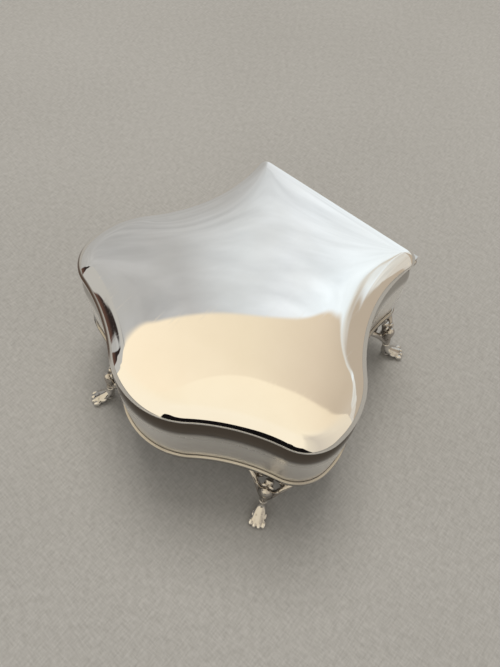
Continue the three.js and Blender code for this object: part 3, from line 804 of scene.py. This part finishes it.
# Cast feet, drawn with x out from the base wire, y along it and z up from the table
foot = dict(
    voxel=0.12, smoothing=6, softness=0.5, barSides=14, legSides=18, kneeSides=32, beadSides=10,
    wing=8.2, cornerWing=6.2, wingRadius=0.65, wingSet=0.2, wingTip=(0.55, 0.8, 0.6), bowReach=1.2,
    barBends=((1.1, 4.6, 1.6), (2.1, 2.6, 5.2)), barFoot=(0.2, 0.5, 1.6), barSteps=24,
    barRadius=1.0, barEnd=0.8, thickest=0.35, railRadius=0.6, railSet=1.1, railSteps=25,
    legReach=3.2, ankleHeight=6.7, ankleRadius=1.0, beadRadius=0.42, beadRise=0.4, beadSteps=33,
    kneeHeight=11.9, kneeHalf=(2.1, 2.35, 4.1), kneeSet=1.3, kneeLean=math.radians(18),
    neckTop=((-0.3, 0, 0.7), (0.9, 0, 1.6)), neckOut=1.4, neckRise=0.6, neckRadii=(1.3, 1.6), neckSteps=10,
    shinBack=0.9, shinDrop=1.5, shinRise=2.4, shinRadius=1.65, shinSteps=12,
    wireInset=1.0, frontRightInset=10.8, frontLeftInset=23, backInset=7,
    frontRightTurn=math.radians(8), frontLeftTurn=math.radians(-5), backTurn=math.radians(44),
    recessSpread=60, recessDepth=0.6,
)
# Curls of the bracket
scroll = dict(
    middle=(0.75, 3.75, 1.95), radius=0.95, shrink=0.35, lean=0.35, bar=(0.48, 0.4),
    turns=1.1, steps=34, end=0.52,
)
leaf = dict(points=((1.4, 1.9, 5.0), (1.6, 2.7, 4.0), (1.3, 3.3, 3.0)), radii=(0.7, 0.4), steps=12)
curl = dict(
    points=((1.0, 0.3, 1.9), (1.9, 0.4, 0.3), (1.7, 1.8, 0.4), (1.5, 1.55, 1.7)),
    radii=(0.48, 0.4), end=0.48, steps=16,
)
# Paw: the mitten's stations below the ankle are (out, up, half width, half height)
paw = dict(
    mitten=((0, 4.4, 1.0, 1.0), (0.9, 2.9, 1.6, 1.4), (2.8, 1.9, 2.1, 1.4), (4.8, 1.4, 2.3, 1.2),
            (6.2, 1.0, 2.0, 0.8)), mittenSteps=26, mittenSides=24,
    heel=(1.5, 0, 1.15), heelHalf=(1.9, 1.6, 1.15),
    shank=((0, 0, 5.5), (0, 0, 3.4), (0.9, 0, 1.6)), shankRadii=(0.95, 1.35), shankSteps=10,
    length=7.6, toeShares=(-1, -0.36, 0.36, 1), toeSpread=1.95, toeHalf=(1.3, 0.82, 1.0),
    toeCurve=0.55, toeRise=0.95, toeLean=0.15,
    knuckleOut=4.2, knuckleShare=0.86, knuckleRise=2.2, knuckleDrop=0.5,
    knuckleHalf=(1.5, 0.7, 0.62), knuckleLean=0.45,
)


# Round bar along a path, of one radius or tapering between two
def bar(path, radii, sides=foot["barSides"]):
    path = np.asarray(path, float)
    if isinstance(radii, tuple):
        radii = np.linspace(*radii, len(path))
    radii = np.broadcast_to(radii, len(path))
    tangents = np.gradient(path, axis=0)
    tangents /= np.linalg.norm(tangents, axis=1)[:, None]
    normal = np.cross(tangents[0], (0.31, 0.22, 0.92))  # any direction that no bar starts along
    angles = allRound(sides)
    rings = []
    for point, tangent, radius in zip(path, tangents, radii):
        normal = normal - tangent * (normal @ tangent)
        normal /= np.linalg.norm(normal)
        across = np.cross(tangent, normal)
        rings.append(point + radius * (np.outer(np.cos(angles), normal) + np.outer(np.sin(angles), across)))
    return loft(rings, [path[0], path[-1]])


def ball(centre, half, lean=0.0, sides=20):
    angles = allRound(sides)
    rings = [np.column_stack((np.sin(p) * np.cos(angles), np.sin(p) * np.sin(angles),
                              np.full(sides, -math.cos(p))))
             for p in np.linspace(0, math.pi, sides // 2 + 1)[1:-1]]
    points, faces = loft(rings, [(0, 0, -1), (0, 0, 1)])
    cosine, sine = math.cos(lean), math.sin(lean)
    return points * half @ np.array([[cosine, 0, -sine], [0, 1, 0], [sine, 0, cosine]]) + centre, faces


# Points of a bracket on one side of it, from (out, along, below the top)
def hung(points, side, top):
    return [(out, side * along, top - below) for out, along, below in points]


# Three-cornered bracket under the wire: two thick bars, a rail on top, and curls in each opening
def bracketBars(top, bow, wings):
    parts = []
    for side, wing in zip((-1, 1), wings):
        tip = (bow(side * wing) - foot["wingSet"], side * wing, top - foot["wingRadius"])
        bend, knee = hung(foot["barBends"], side, top)
        bend = (bow(bend[1]) + bend[0], *bend[1:])
        inset, aside, rise = foot["barFoot"]
        end = (foot["legReach"] - inset, side * aside, foot["ankleHeight"] + rise)
        path = curve((tip, bend, knee, end), foot["barSteps"])
        thick = np.interp(np.linspace(0, 1, len(path)), (0, foot["thickest"], 1),
                          (foot["wingRadius"], foot["barRadius"], foot["barEnd"]))
        parts += [bar(path, thick), ball(tip, foot["wingTip"])]

        out, along, below = scroll["middle"]
        turns = np.linspace(0, fullTurn * scroll["turns"], scroll["steps"])
        size = scroll["radius"] * np.linspace(1, scroll["shrink"], scroll["steps"])
        path = np.column_stack((out + bow(side * along) + scroll["lean"] * size * np.sin(turns),
                                side * (along - size * np.cos(turns)), top - below - size * np.sin(turns)))
        parts += [bar(path, scroll["bar"]), ball(path[-1], scroll["end"])]
        parts.append(bar(curve(hung(leaf["points"], side, top), leaf["steps"]), leaf["radii"]))
    rail = [(bow(y) - foot["railSet"], y, top - foot["railRadius"])
            for y in np.linspace(-wings[0], wings[1], foot["railSteps"])]
    return parts + [bar(rail, foot["railRadius"])]


# Egg-shaped knee with two curled tips over it, and the shin down to a bead at the ankle
def kneeAndLeg(top):
    reach, ankle, knee = foot["legReach"], foot["ankleHeight"], foot["kneeHeight"]
    parts = [ball((reach - foot["kneeSet"], 0, knee), foot["kneeHalf"], foot["kneeLean"],
                  foot["kneeSides"])]
    neck = (*hung(foot["neckTop"], 1, top), (foot["neckOut"], 0, knee + foot["neckRise"]))
    parts.append(bar(curve(neck, foot["neckSteps"]), foot["neckRadii"], foot["legSides"]))
    for side in (-1, 1):
        path = curve(hung(curl["points"], side, top), curl["steps"])
        parts += [bar(path, curl["radii"]), ball(path[-1], curl["end"])]
    shin = ((reach - foot["shinBack"], 0, knee - foot["shinDrop"]), (reach, 0, ankle + foot["shinRise"]),
            (reach, 0, ankle))
    taper = (foot["shinRadius"], foot["ankleRadius"])
    parts.append(bar(curve(shin, foot["shinSteps"]), taper, foot["legSides"]))
    angles = np.linspace(0, fullTurn, foot["beadSteps"])
    bead = np.column_stack((np.cos(angles), np.sin(angles), np.zeros(len(angles)))) * foot["ankleRadius"]
    bead = bead + (reach, 0, ankle + foot["beadRise"])
    return parts + [bar(bead, foot["beadRadius"], foot["beadSides"])]


# Solid paw: a mitten that widens to the front, with a row of knuckles and a row of toes
def pawParts(turn):
    ankle = (0, foot["ankleHeight"], foot["ankleRadius"], foot["ankleRadius"])
    spine = curve((ankle, *paw["mitten"]), paw["mittenSteps"])
    angles = allRound(paw["mittenSides"])
    slopes = np.gradient(spine[:, :2], axis=0)
    slopes /= np.linalg.norm(slopes, axis=1)[:, None]
    rings = []
    for (x, z, halfWidth, halfHeight), (ahead, rise) in zip(spine, slopes):
        lift = halfHeight * np.sin(angles)
        rings.append(np.column_stack((x - rise * lift, -halfWidth * np.cos(angles), z + ahead * lift)))
    parts = [loft(rings, [(x, 0, z) for x, z in spine[[0, -1], :2]]), ball(paw["heel"], paw["heelHalf"]),
             bar(curve(paw["shank"], paw["shankSteps"]), paw["shankRadii"], foot["legSides"])]
    length = paw["length"] - paw["toeHalf"][0]
    for share in paw["toeShares"]:
        back = paw["toeCurve"] * share ** 2
        aside = paw["toeSpread"] * share
        parts.append(ball((length - back, aside, paw["toeRise"]), paw["toeHalf"], paw["toeLean"]))
        knuckle = (paw["knuckleOut"] - back, paw["knuckleShare"] * aside,
                   paw["knuckleRise"] - paw["knuckleDrop"] * share ** 2)
        parts.append(ball(knuckle, paw["knuckleHalf"], paw["knuckleLean"]))
    return [(spun(points, turn) + (foot["legReach"], 0, 0), faces) for points, faces in parts]


def joinParts(parts):
    points, faces, count = [], [], 0
    for partPoints, partFaces in parts:
        points.append(partPoints)
        faces += [tuple(i + count for i in face) for face in partFaces]
        count += len(partPoints)
    return np.vstack(points), faces


# A recess value at each point, which grows where the surface lies below its surroundings
def addRecess(mesh):
    points = pointsOf(mesh)
    count = len(points)
    normals = np.empty(count * 3)
    mesh.vertex_normals.foreach_get("vector", normals)
    ends = np.empty(len(mesh.edges) * 2, int)
    mesh.edges.foreach_get("vertices", ends)
    others = ends.reshape(-1, 2)[:, ::-1].ravel()
    degree = np.bincount(ends, minlength=count)[:, None]
    soft = points
    for _ in range(foot["recessSpread"]):
        soft = np.column_stack([np.bincount(ends, soft[others, k], count) for k in range(3)]) / degree
    depth = np.einsum("ij,ij->i", soft - points, normals.reshape(-1, 3)) / mm
    recess = np.clip(0.5 + depth / foot["recessDepth"] * 0.5, 0, 1)
    mesh.attributes.new("recess", "FLOAT", "POINT").data.foreach_set("value", recess.astype(np.float32))


# How far the wire stands out at each place along a bracket
def wireBow(station, facing):
    loop = planRing(foot["wireInset"], 0)[:, :2] - station
    out = loop @ (math.cos(facing), math.sin(facing))
    along = loop @ (-math.sin(facing), math.cos(facing))
    near = (np.abs(along) < foot["bowReach"] * foot["wing"]) & (np.abs(out) < foot["wing"])
    order = np.argsort(along[near])
    return lambda y: float(np.interp(y, along[near][order], out[near][order]))


def makeFoot(station, facing, corner, turn, wings):
    name, node = f"paw_{corner}", f"foot_{corner}"
    top = span(node)[1]
    bow = wireBow(station, facing)
    points, faces = joinParts(bracketBars(top, bow, wings) + kneeAndLeg(top) + pawParts(turn))
    obj = addObject(name, meshFrom(name, points, faces, 1.0))
    voxelSkin(obj, foot["voxel"])
    soften = obj.modifiers.new("soften", "SMOOTH")
    soften.factor = foot["softness"]
    soften.iterations = foot["smoothing"]
    mesh = bakeModifiers(obj)
    cast = pointsOf(mesh)
    cast[:, 2] = np.clip(cast[:, 2], 0, top)  # flat sole, flat top under the base
    movePoints(mesh, spun(cast, facing) + (*station, 0))
    smoothShade(mesh, 60)
    addRecess(mesh)
    coat(mesh, castSilver)
    place(obj, "body", "cast_silver", node)


# Places round the base wire: on a front hollow at a given x, or on a side hollow at a given y
def onFrontHollow(x):
    side = math.copysign(1, x)
    rise = math.sqrt((plan["frontHollowRadius"] - foot["wireInset"]) ** 2 - (abs(x) - frontHollow[0]) ** 2)
    y = frontHollow[1] + rise
    return (x, y + planShift), math.atan2(frontHollow[1] - y, side * frontHollow[0] - x)


def onSideHollow(y, side):
    reach = math.sqrt((plan["sideHollowRadius"] - foot["wireInset"]) ** 2 - (y - sideHollow[1]) ** 2)
    x = side * (sideHollow[0] - reach)
    return (x, y + planShift), math.atan2(sideHollow[1] - y, side * sideHollow[0] - x)


def makeFeet():
    halfWidth, backY = plan["width"] / 2, plan["backY"] - foot["backInset"]
    wing, cornerWing, turn = foot["wing"], foot["cornerWing"], foot["backTurn"]
    right = onFrontHollow(halfWidth - foot["frontRightInset"])
    left = onFrontHollow(foot["frontLeftInset"] - halfWidth)
    makeFoot(*right, "front_right", foot["frontRightTurn"], (wing, wing))
    makeFoot(*left, "front_left", foot["frontLeftTurn"], (wing, wing))
    makeFoot(*onSideHollow(backY, 1), "back_right", turn, (wing, cornerWing))
    makeFoot(*onSideHollow(backY, -1), "back_left", -turn, (cornerWing, wing))


makeFeet()
print("feet made")

# Lining: card boards, velvet strip on the wall, and two stuffed pads
lining = dict(
    gap=0.3, boardClearance=0.8, boardRings=8, innerRing=0.06,
    stripThickness=1.4, stripSteps=12, stripRows=(8, 10), stripWave=0.12, stripWaves=34,
    stripSwells=5, padSetback=1.6, padShoulder=3.6, padRounding=1.2, padSteps=7, padShrink=0.25,
    floorBulge=0.9, lidBulge=0.6, padShares=(0.94, 0.08, 14), heldDepth=0.6,
    simScale=20, simVoxel=0.9, pressure=4.0, frames=20, mostSwell=0.9,
    floorRoom=0.6, lidRoom=0.3,  # most that a pad may stand past its solid
)
stripInset = wall["footInset"] + wall["thickness"] + lining["gap"]
floorInset = stripInset + lining["stripThickness"] + lining["gap"]
boardInset = bezelInset + wall["bezelThickness"] + lining["boardClearance"]
padInset = boardInset + lining["padSetback"]


def makeBoards():
    low, high = span("floor_board")
    shape = disc([planRing(floorInset, low), planRing(floorInset, high)], low, high)
    makePiece("floor_card", shape, 40, card, "body", "lining_card", "floor_board")
    low, high = span("lid_board")
    shares = np.linspace(1, lining["innerRing"], lining["boardRings"])
    rings = domeRings(boardInset, low, shares[::-1], lid["rise"])
    rings += domeRings(boardInset, high - lid["rise"], shares, lid["rise"])
    makePiece("lid_card", disc(rings, low + lid["rise"], high), 40, card, "lid", "lining_card", "lid_board")


def makeStripLining():
    low, high = span("wall_lining")
    half = lining["stripThickness"] / 2
    outerRows, innerRows = lining["stripRows"]
    section = [(stripInset, z) for z in np.linspace(low, high - half, outerRows)[:-1]]
    section += sectionArc(stripInset + half, high - half, half, 0, math.pi, lining["stripSteps"])
    section += [(stripInset + 2 * half, z) for z in np.linspace(high - half, low, innerRows)[1:]]
    rings = planRings(section)
    around = allRound(len(rings[0]))
    wave = np.sin(around * lining["stripWaves"]) * np.sin(around * lining["stripSwells"] + 1) - 1
    for ring, (inset, z) in zip(rings, section):  # the velvet rises and sinks a little along its top edge
        share = np.clip((z - low) / (high - low), 0, 1) ** 3
        ring[:, 2] += lining["stripWave"] * share * wave
    obj = makePiece("wall_velvet", loft(rings), 60, velvet, "body", "velvet", "wall_lining")


# Soft form in the pad's space: flat where it is glued, crowned on its free side
def padForm(inset, glued, free, bulge):
    side = 1 if free > glued else -1
    shoulder, rounding, face = lining["padShoulder"], side * lining["padRounding"], free - side * bulge
    rings = planRings([(inset, glued)] + sectionArc(
        inset + shoulder, face - rounding, shoulder, 0, rightAngle, lining["padSteps"], rounding))
    rings += domeRings(inset + shoulder, face, np.linspace(*lining["padShares"]), side * bulge)
    return disc(rings, glued, free) if side > 0 else disc(rings[::-1], free, glued)


# Cloth filled with air, worked on at a larger scale, then brought back to size
def swell(name, shape, held):
    scale = mm * lining["simScale"]
    obj = addObject(name, meshFrom(name, *shape, scale))
    voxelSkin(obj, lining["simVoxel"] * scale)
    rest = pointsOf(bakeModifiers(obj)) / scale
    moved = rest
    group = obj.vertex_groups.new(name="held")
    group.add([int(i) for i in np.nonzero(held(rest[:, 2]))[0]], 1.0, "REPLACE")
    cloth = obj.modifiers.new("cloth", "CLOTH")
    cloth.settings.use_pressure = True
    cloth.settings.uniform_pressure_force = lining["pressure"]
    cloth.settings.vertex_group_mass = "held"
    cloth.settings.effector_weights.gravity = 0
    scene = bpy.context.scene
    for step in range(1, lining["frames"] + 1):
        scene.frame_set(step)
    swollen = obj.evaluated_get(bpy.context.evaluated_depsgraph_get())
    moved = pointsOf(swollen.to_mesh()) / scale
    swollen.to_mesh_clear()
    obj.modifiers.clear()
    scene.frame_set(1)
    travel = moved - rest
    far = np.linalg.norm(travel, axis=1)
    travel *= np.minimum(1, lining["mostSwell"] / np.maximum(far, 1e-9))[:, None]
    return obj, rest + travel


def finishPad(obj, points, lowest, highest):
    points[:, 2] = np.clip(points[:, 2], lowest, highest)
    movePoints(obj.data, points)
    obj.vertex_groups.clear()
    finer = obj.modifiers.new("finer", "SUBSURF")
    finer.levels = finer.render_levels = 1
    mesh = bakeModifiers(obj)
    smoothShade(mesh, 180)
    coat(mesh, velvet)


def makePads():
    depth, shrink = lining["heldDepth"], lining["padShrink"]
    low, high = span("floor_pad")
    shape = padForm(floorInset + shrink, low, high, lining["floorBulge"])
    obj, points = swell("floor_cushion", shape, lambda z: z < low + depth)
    finishPad(obj, points, low, high + lining["floorRoom"])
    place(obj, "body", "velvet", "floor_pad")

    low, high = span("lid_pad")
    glued = high - lid["rise"]
    shape = padForm(padInset + shrink, glued, low, lining["lidBulge"])
    obj, points = swell("lid_cushion", shape, lambda z: z > glued - depth)
    finishPad(obj, points, low - lining["lidRoom"], glued)
    place(obj, "lid", "velvet", "lid_pad")


makeBoards()
makeStripLining()
makePads()
print("lining made")

# Floor: plain grey cloth with a fine weave
floor = dict(
    half=4.0, pale=(0.47, 0.45, 0.415), dark=(0.36, 0.343, 0.312), stops=(0.36, 0.64),
    warp=(1700, 340, 1), weft=(340, 1700, 1), turn=(0, 0, 0.6), threadShare=0.8,
    cloudScale=9, cloudShare=0.2, roughness=(0.85, 0.95), specular=0.2,
    depth=0.0002, strength=0.5,
)


def makeFloor():
    material, tree, shader, coords = newMaterial("floorCloth")
    warp, weft = [noise(tree, coords, 1.0, 2.0, floor[way], floor["turn"]) for way in ("warp", "weft")]
    threads = maths(tree, "MULTIPLY", maths(tree, "ADD", warp, weft), 0.5)
    cloud = noise(tree, coords, floor["cloudScale"], 2.0)
    tone = maths(tree, "ADD", maths(tree, "MULTIPLY", threads, floor["threadShare"]),
                 maths(tree, "MULTIPLY", cloud, floor["cloudShare"]))
    shader.inputs["Specular IOR Level"].default_value = floor["specular"]
    dress(tree, shader, ramp(tree, tone, floor["stops"], (floor["dark"], floor["pale"])),
          mapRange(tree, threads, *noiseSpan, *floor["roughness"]),
          bump(tree, threads, floor["depth"], floor["strength"]))
    half = floor["half"]
    corners = [(-half, -half, 0), (half, -half, 0), (half, half, 0), (-half, half, 0)]
    addObject("floor", meshFrom("floor", corners, [(0, 1, 2, 3)], 1.0), material)


makeFloor()

# Camera: phone about 20 cm away, looking down at the front right
shot = dict(
    place=(55.12, -71.38, 179.17), down=math.radians(60.15), turn=math.radians(36.53),
    roll=math.radians(4.56), sensor=36, focalPixels=575, imageHeight=667, nearest=0.01,
)


def makeCamera():
    data = bpy.data.cameras.new("camera")
    data.sensor_width = shot["sensor"]
    data.lens = data.sensor_width * shot["focalPixels"] / shot["imageHeight"]
    data.clip_start = shot["nearest"]
    camera = bpy.data.objects.new("camera", data)
    aim = Euler((rightAngle - shot["down"], 0, shot["turn"])).to_matrix()
    camera.matrix_world = (aim @ Euler((0, 0, shot["roll"])).to_matrix()).to_4x4()
    camera.location = Vector(shot["place"]) * mm
    bpy.context.scene.collection.objects.link(camera)
    bpy.context.scene.camera = camera


makeCamera()

# Room that the polish mirrors: pale wall under an arch of ceiling, dark curtain at the left, tan door at
# the right, dark in front. Angles are degrees right of the wall's middle and up from the floor.
room = dict(
    wallMiddle=math.radians(126.5), lowest=-9, blur=0.45, plain=(0.5, 0.495, 0.485),
    arch=((-180, -9), (-97, -9), (-95, 2), (-94, 11), (-92, 20), (-89, 28), (-86, 33), (-82, 38),
        (-78, 42.5), (-74, 45.5), (-69, 48), (-62, 50.8), (-55, 52.6), (-48, 54.3), (-44, 55.6),
        (-38, 57.3), (-30, 59.3), (-12, 60.6), (12, 60.2), (30, 55.2), (35, 54), (38, 53), (41, 52.4),
        (44, 52.1), (47, 53), (50, 52.6), (56, 52.1), (59, 51.7), (62, 50.8), (65, 50), (68, 49.3),
        (71, 48.2), (74, 46.8), (77, 44.7), (80, 42.4), (83, 39.8), (86, 37), (89, 33.6), (92, 29),
        (95, 20), (98, 5), (100, -9), (180, -9)),
    ceilingEdge=((-180, -9), (-92, -9), (-80, 45), (-68, 67), (-50, 73), (0, 74), (25, 71), (50, 66),
        (58, 64), (66, 61), (72, 58), (78, 53), (84, 45.5), (90, 36), (96, 16), (99, -9),
        (180, -9)),
    curtainLeft=((-9, -89), (5, -87.5), (15, -85.5), (20, -83.8), (26, -80.6), (31, -77.3), (35, -74.6),
        (39, -71.2), (42, -67.6), (45, -62.8), (48.5, -57), (51.5, -51.5), (90, -50)),
    curtainRight=((-9, -77.2), (12, -76.8), (18, -76), (23, -74.8), (28, -73.2), (33, -71.2),
        (37, -68.8), (41.5, -64.8), (46, -60.8), (50, -55.8), (53, -50), (90, -50)),
    doorLeft=((-9, 57.5), (10, 57), (25, 54.5), (30, 53), (38, 49.5), (42, 47), (46, 44.6), (50, 43.6),
        (90, 40)),
    doorTop=((-180, 50.6), (43, 50.6), (47, 49.3), (50, 49), (53, 47.8), (56, 46.3), (59, 44.8),
        (62, 43.4), (65, 41.6), (68, 40.1), (71, 38.2), (74, 35.4), (77, 31.2), (80, 28), (83, 24.2),
        (86, 19.5), (89, 15), (92, 11), (95, 5), (98, -9), (180, -9)),
    frontEdge=((-180, 11), (-166, 11), (-158, 14), (-153, 4), (-148, -9), (150, -9), (165, 1),
        (180, 11)),
    overhead=((-180, (0.99, 0.885, 0.695)), (-150, (1.02, 0.92, 0.73)), (-50, (1.03, 0.895, 0.665)),
        (10, (1.02, 0.88, 0.65)), (45, (0.91, 0.775, 0.575)), (100, (0.84, 0.75, 0.6)),
        (150, (0.66, 0.59, 0.49)), (170, (0.78, 0.7, 0.56)), (180, (0.99, 0.885, 0.695))),
    zenith=(1.0, 0.885, 0.675), zenithRise=(68, 86),
    ceiling=((-70, (1.04, 0.9, 0.68)), (-42, (1.03, 0.885, 0.66)), (0, (0.9, 0.775, 0.575)),
        (28, (0.74, 0.62, 0.47)), (45, (0.6, 0.5, 0.38)), (75, (0.62, 0.53, 0.42))),
    wall=((-62, (0.52, 0.515, 0.495)), (-35, (0.47, 0.465, 0.455)), (-18, (0.5, 0.5, 0.495)),
        (-4, (0.69, 0.72, 0.735)), (10, (0.83, 0.87, 0.9)), (25, (0.9, 0.97, 1.01)),
        (40.5, (0.9, 0.97, 1.0)), (43, (0.72, 0.7, 0.64)), (45, (0.72, 0.7, 0.64)),
        (47.5, (0.91, 0.98, 1.01)), (51, (0.79, 0.78, 0.73)), (70, (0.74, 0.72, 0.66)),
        (85, (0.68, 0.64, 0.57))),
    wallLow=(0.42, 0.41, 0.39), lowFade=(50, 22), lowShare=0.75, lowEnd=(-5, 12),
    streaks=0.1, streakStretch=(5, 5, 26), streakTurn=(0.5, 0.35, 0),
    curtain=(0.028, 0.02, 0.018), curtainLow=(0.13, 0.07, 0.052), curtainFade=(24, 2),
    curtainEdge=(0.52, 0.505, 0.47), door=(0.5, 0.42, 0.33), doorBlur=(1.2, 0.9),
    front=(0.006, 0.005, 0.005),
)


def makeRoom():
    world = bpy.data.worlds.new("room")
    bpy.context.scene.world = world
    world.use_nodes = True
    tree = world.node_tree
    direction = tree.nodes.new("ShaderNodeTexCoord").outputs["Generated"]

    def along(angle):
        return measure(tree, "DOT_PRODUCT", direction, (math.cos(angle), math.sin(angle), 0))

    middle, lowest = room["wallMiddle"], room["lowest"]
    right = maths(tree, "DEGREES", maths(tree, "ARCTAN2", along(middle - rightAngle), along(middle)))
    up = maths(tree, "DEGREES", maths(tree, "ARCSINE", heightOf(tree, direction)))
    turned = mapRange(tree, right, -180, 180, 0, 1)
    raised = mapRange(tree, up, lowest, 90, 0, 1)

    def turnShare(angle):
        return (angle + 180) / 360

    def riseShare(angle):
        return (angle - lowest) / (90 - lowest)

    # a line drawn through a few points: a rise for each turn, or a turn for each rise
    def line(name, byTurn):
        node = addNode(tree, "ShaderNodeFloatCurve", {"Value": turned if byTurn else raised})
        points = node.mapping.curves[0].points
        while len(points) < len(room[name]):
            points.new(0.5, 0.5)
        for point, (a, b) in zip(points, room[name]):
            point.location = (turnShare(a), riseShare(b)) if byTurn else (riseShare(a), turnShare(b))
        node.mapping.update()
        return mapRange(tree, node.outputs["Value"], 0, 1, *((lowest, 90) if byTurn else (-180, 180)))

    def past(value, limit, blur=room["blur"]):
        return mapRange(tree, maths(tree, "SUBTRACT", value, limit), -blur, blur, 0, 1, True)

    def across(name):
        turns, colours = zip(*room[name])
        return ramp(tree, turned, [turnShare(turn) for turn in turns], colours)

    # pale wall, darker low down at the left, with faint streaks
    lowDown = mapRange(tree, up, *room["lowFade"], 0, room["lowShare"])
    colour = mixColour(tree, lowDown, across("wall"), room["wallLow"])
    colour = mixColour(tree, mapRange(tree, right, *room["lowEnd"], 0, 1), colour, across("wall"))
    streaks = noise(tree, direction, 1.0, 4.0, room["streakStretch"], room["streakTurn"])
    streaks = mapRange(tree, streaks, *noiseSpan, 1 - room["streaks"], 1 + room["streaks"])
    shade = addNode(tree, "ShaderNodeVectorMath", {0: colour, "Scale": streaks}, operation="SCALE")

    # door and curtain in front of it
    sideBlur, topBlur = room["doorBlur"]
    door = maths(tree, "MULTIPLY", past(right, line("doorLeft", False), sideBlur),
                 past(line("doorTop", True), up, topBlur))
    colour = mixColour(tree, door, shade.outputs["Vector"], room["door"])
    faded = mapRange(tree, up, *room["curtainFade"], 0, 1)
    curtain = mixColour(tree, faded, room["curtain"], room["curtainLow"])
    colour = mixColour(tree, past(line("curtainRight", False), right), colour, curtain)
    colour = mixColour(tree, past(line("curtainLeft", False), right), colour, room["curtainEdge"])

    # ceiling over the arch, and the dark in front
    zenith = mapRange(tree, up, *room["zenithRise"], 0, 1)
    overhead = mixColour(tree, zenith, across("overhead"), room["zenith"])
    ceiling = mixColour(tree, past(up, line("ceilingEdge", True)), across("ceiling"), overhead)
    colour = mixColour(tree, past(line("arch", True), up), ceiling, colour)
    colour = mixColour(tree, past(line("frontEdge", True), up), colour, room["front"])

    # everything but a mirror sees plain light
    rays = tree.nodes.new("ShaderNodeLightPath")
    colour = mixColour(tree, rays.outputs["Is Glossy Ray"], room["plain"], colour)
    tree.links.new(colour, tree.nodes["Background"].inputs["Color"])


makeRoom()

# Soft lamp at the back, which the polished sheet doesn't mirror
lamp = dict(place=(-0.5, 0.62, 1.9), size=1.0, watts=23, colour=(1.0, 0.985, 0.96))


def makeLamp():
    data = bpy.data.lights.new("window", "AREA")
    data.size = lamp["size"]
    data.energy = lamp["watts"]
    data.color = lamp["colour"]
    light = bpy.data.objects.new("window", data)
    light.location = lamp["place"]
    light.rotation_euler = (-Vector(lamp["place"])).to_track_quat("-Z", "Y").to_euler()
    light.visible_glossy = False
    bpy.context.scene.collection.objects.link(light)


makeLamp()
bpy.context.scene.view_settings.view_transform = "Standard"
print("stage made")
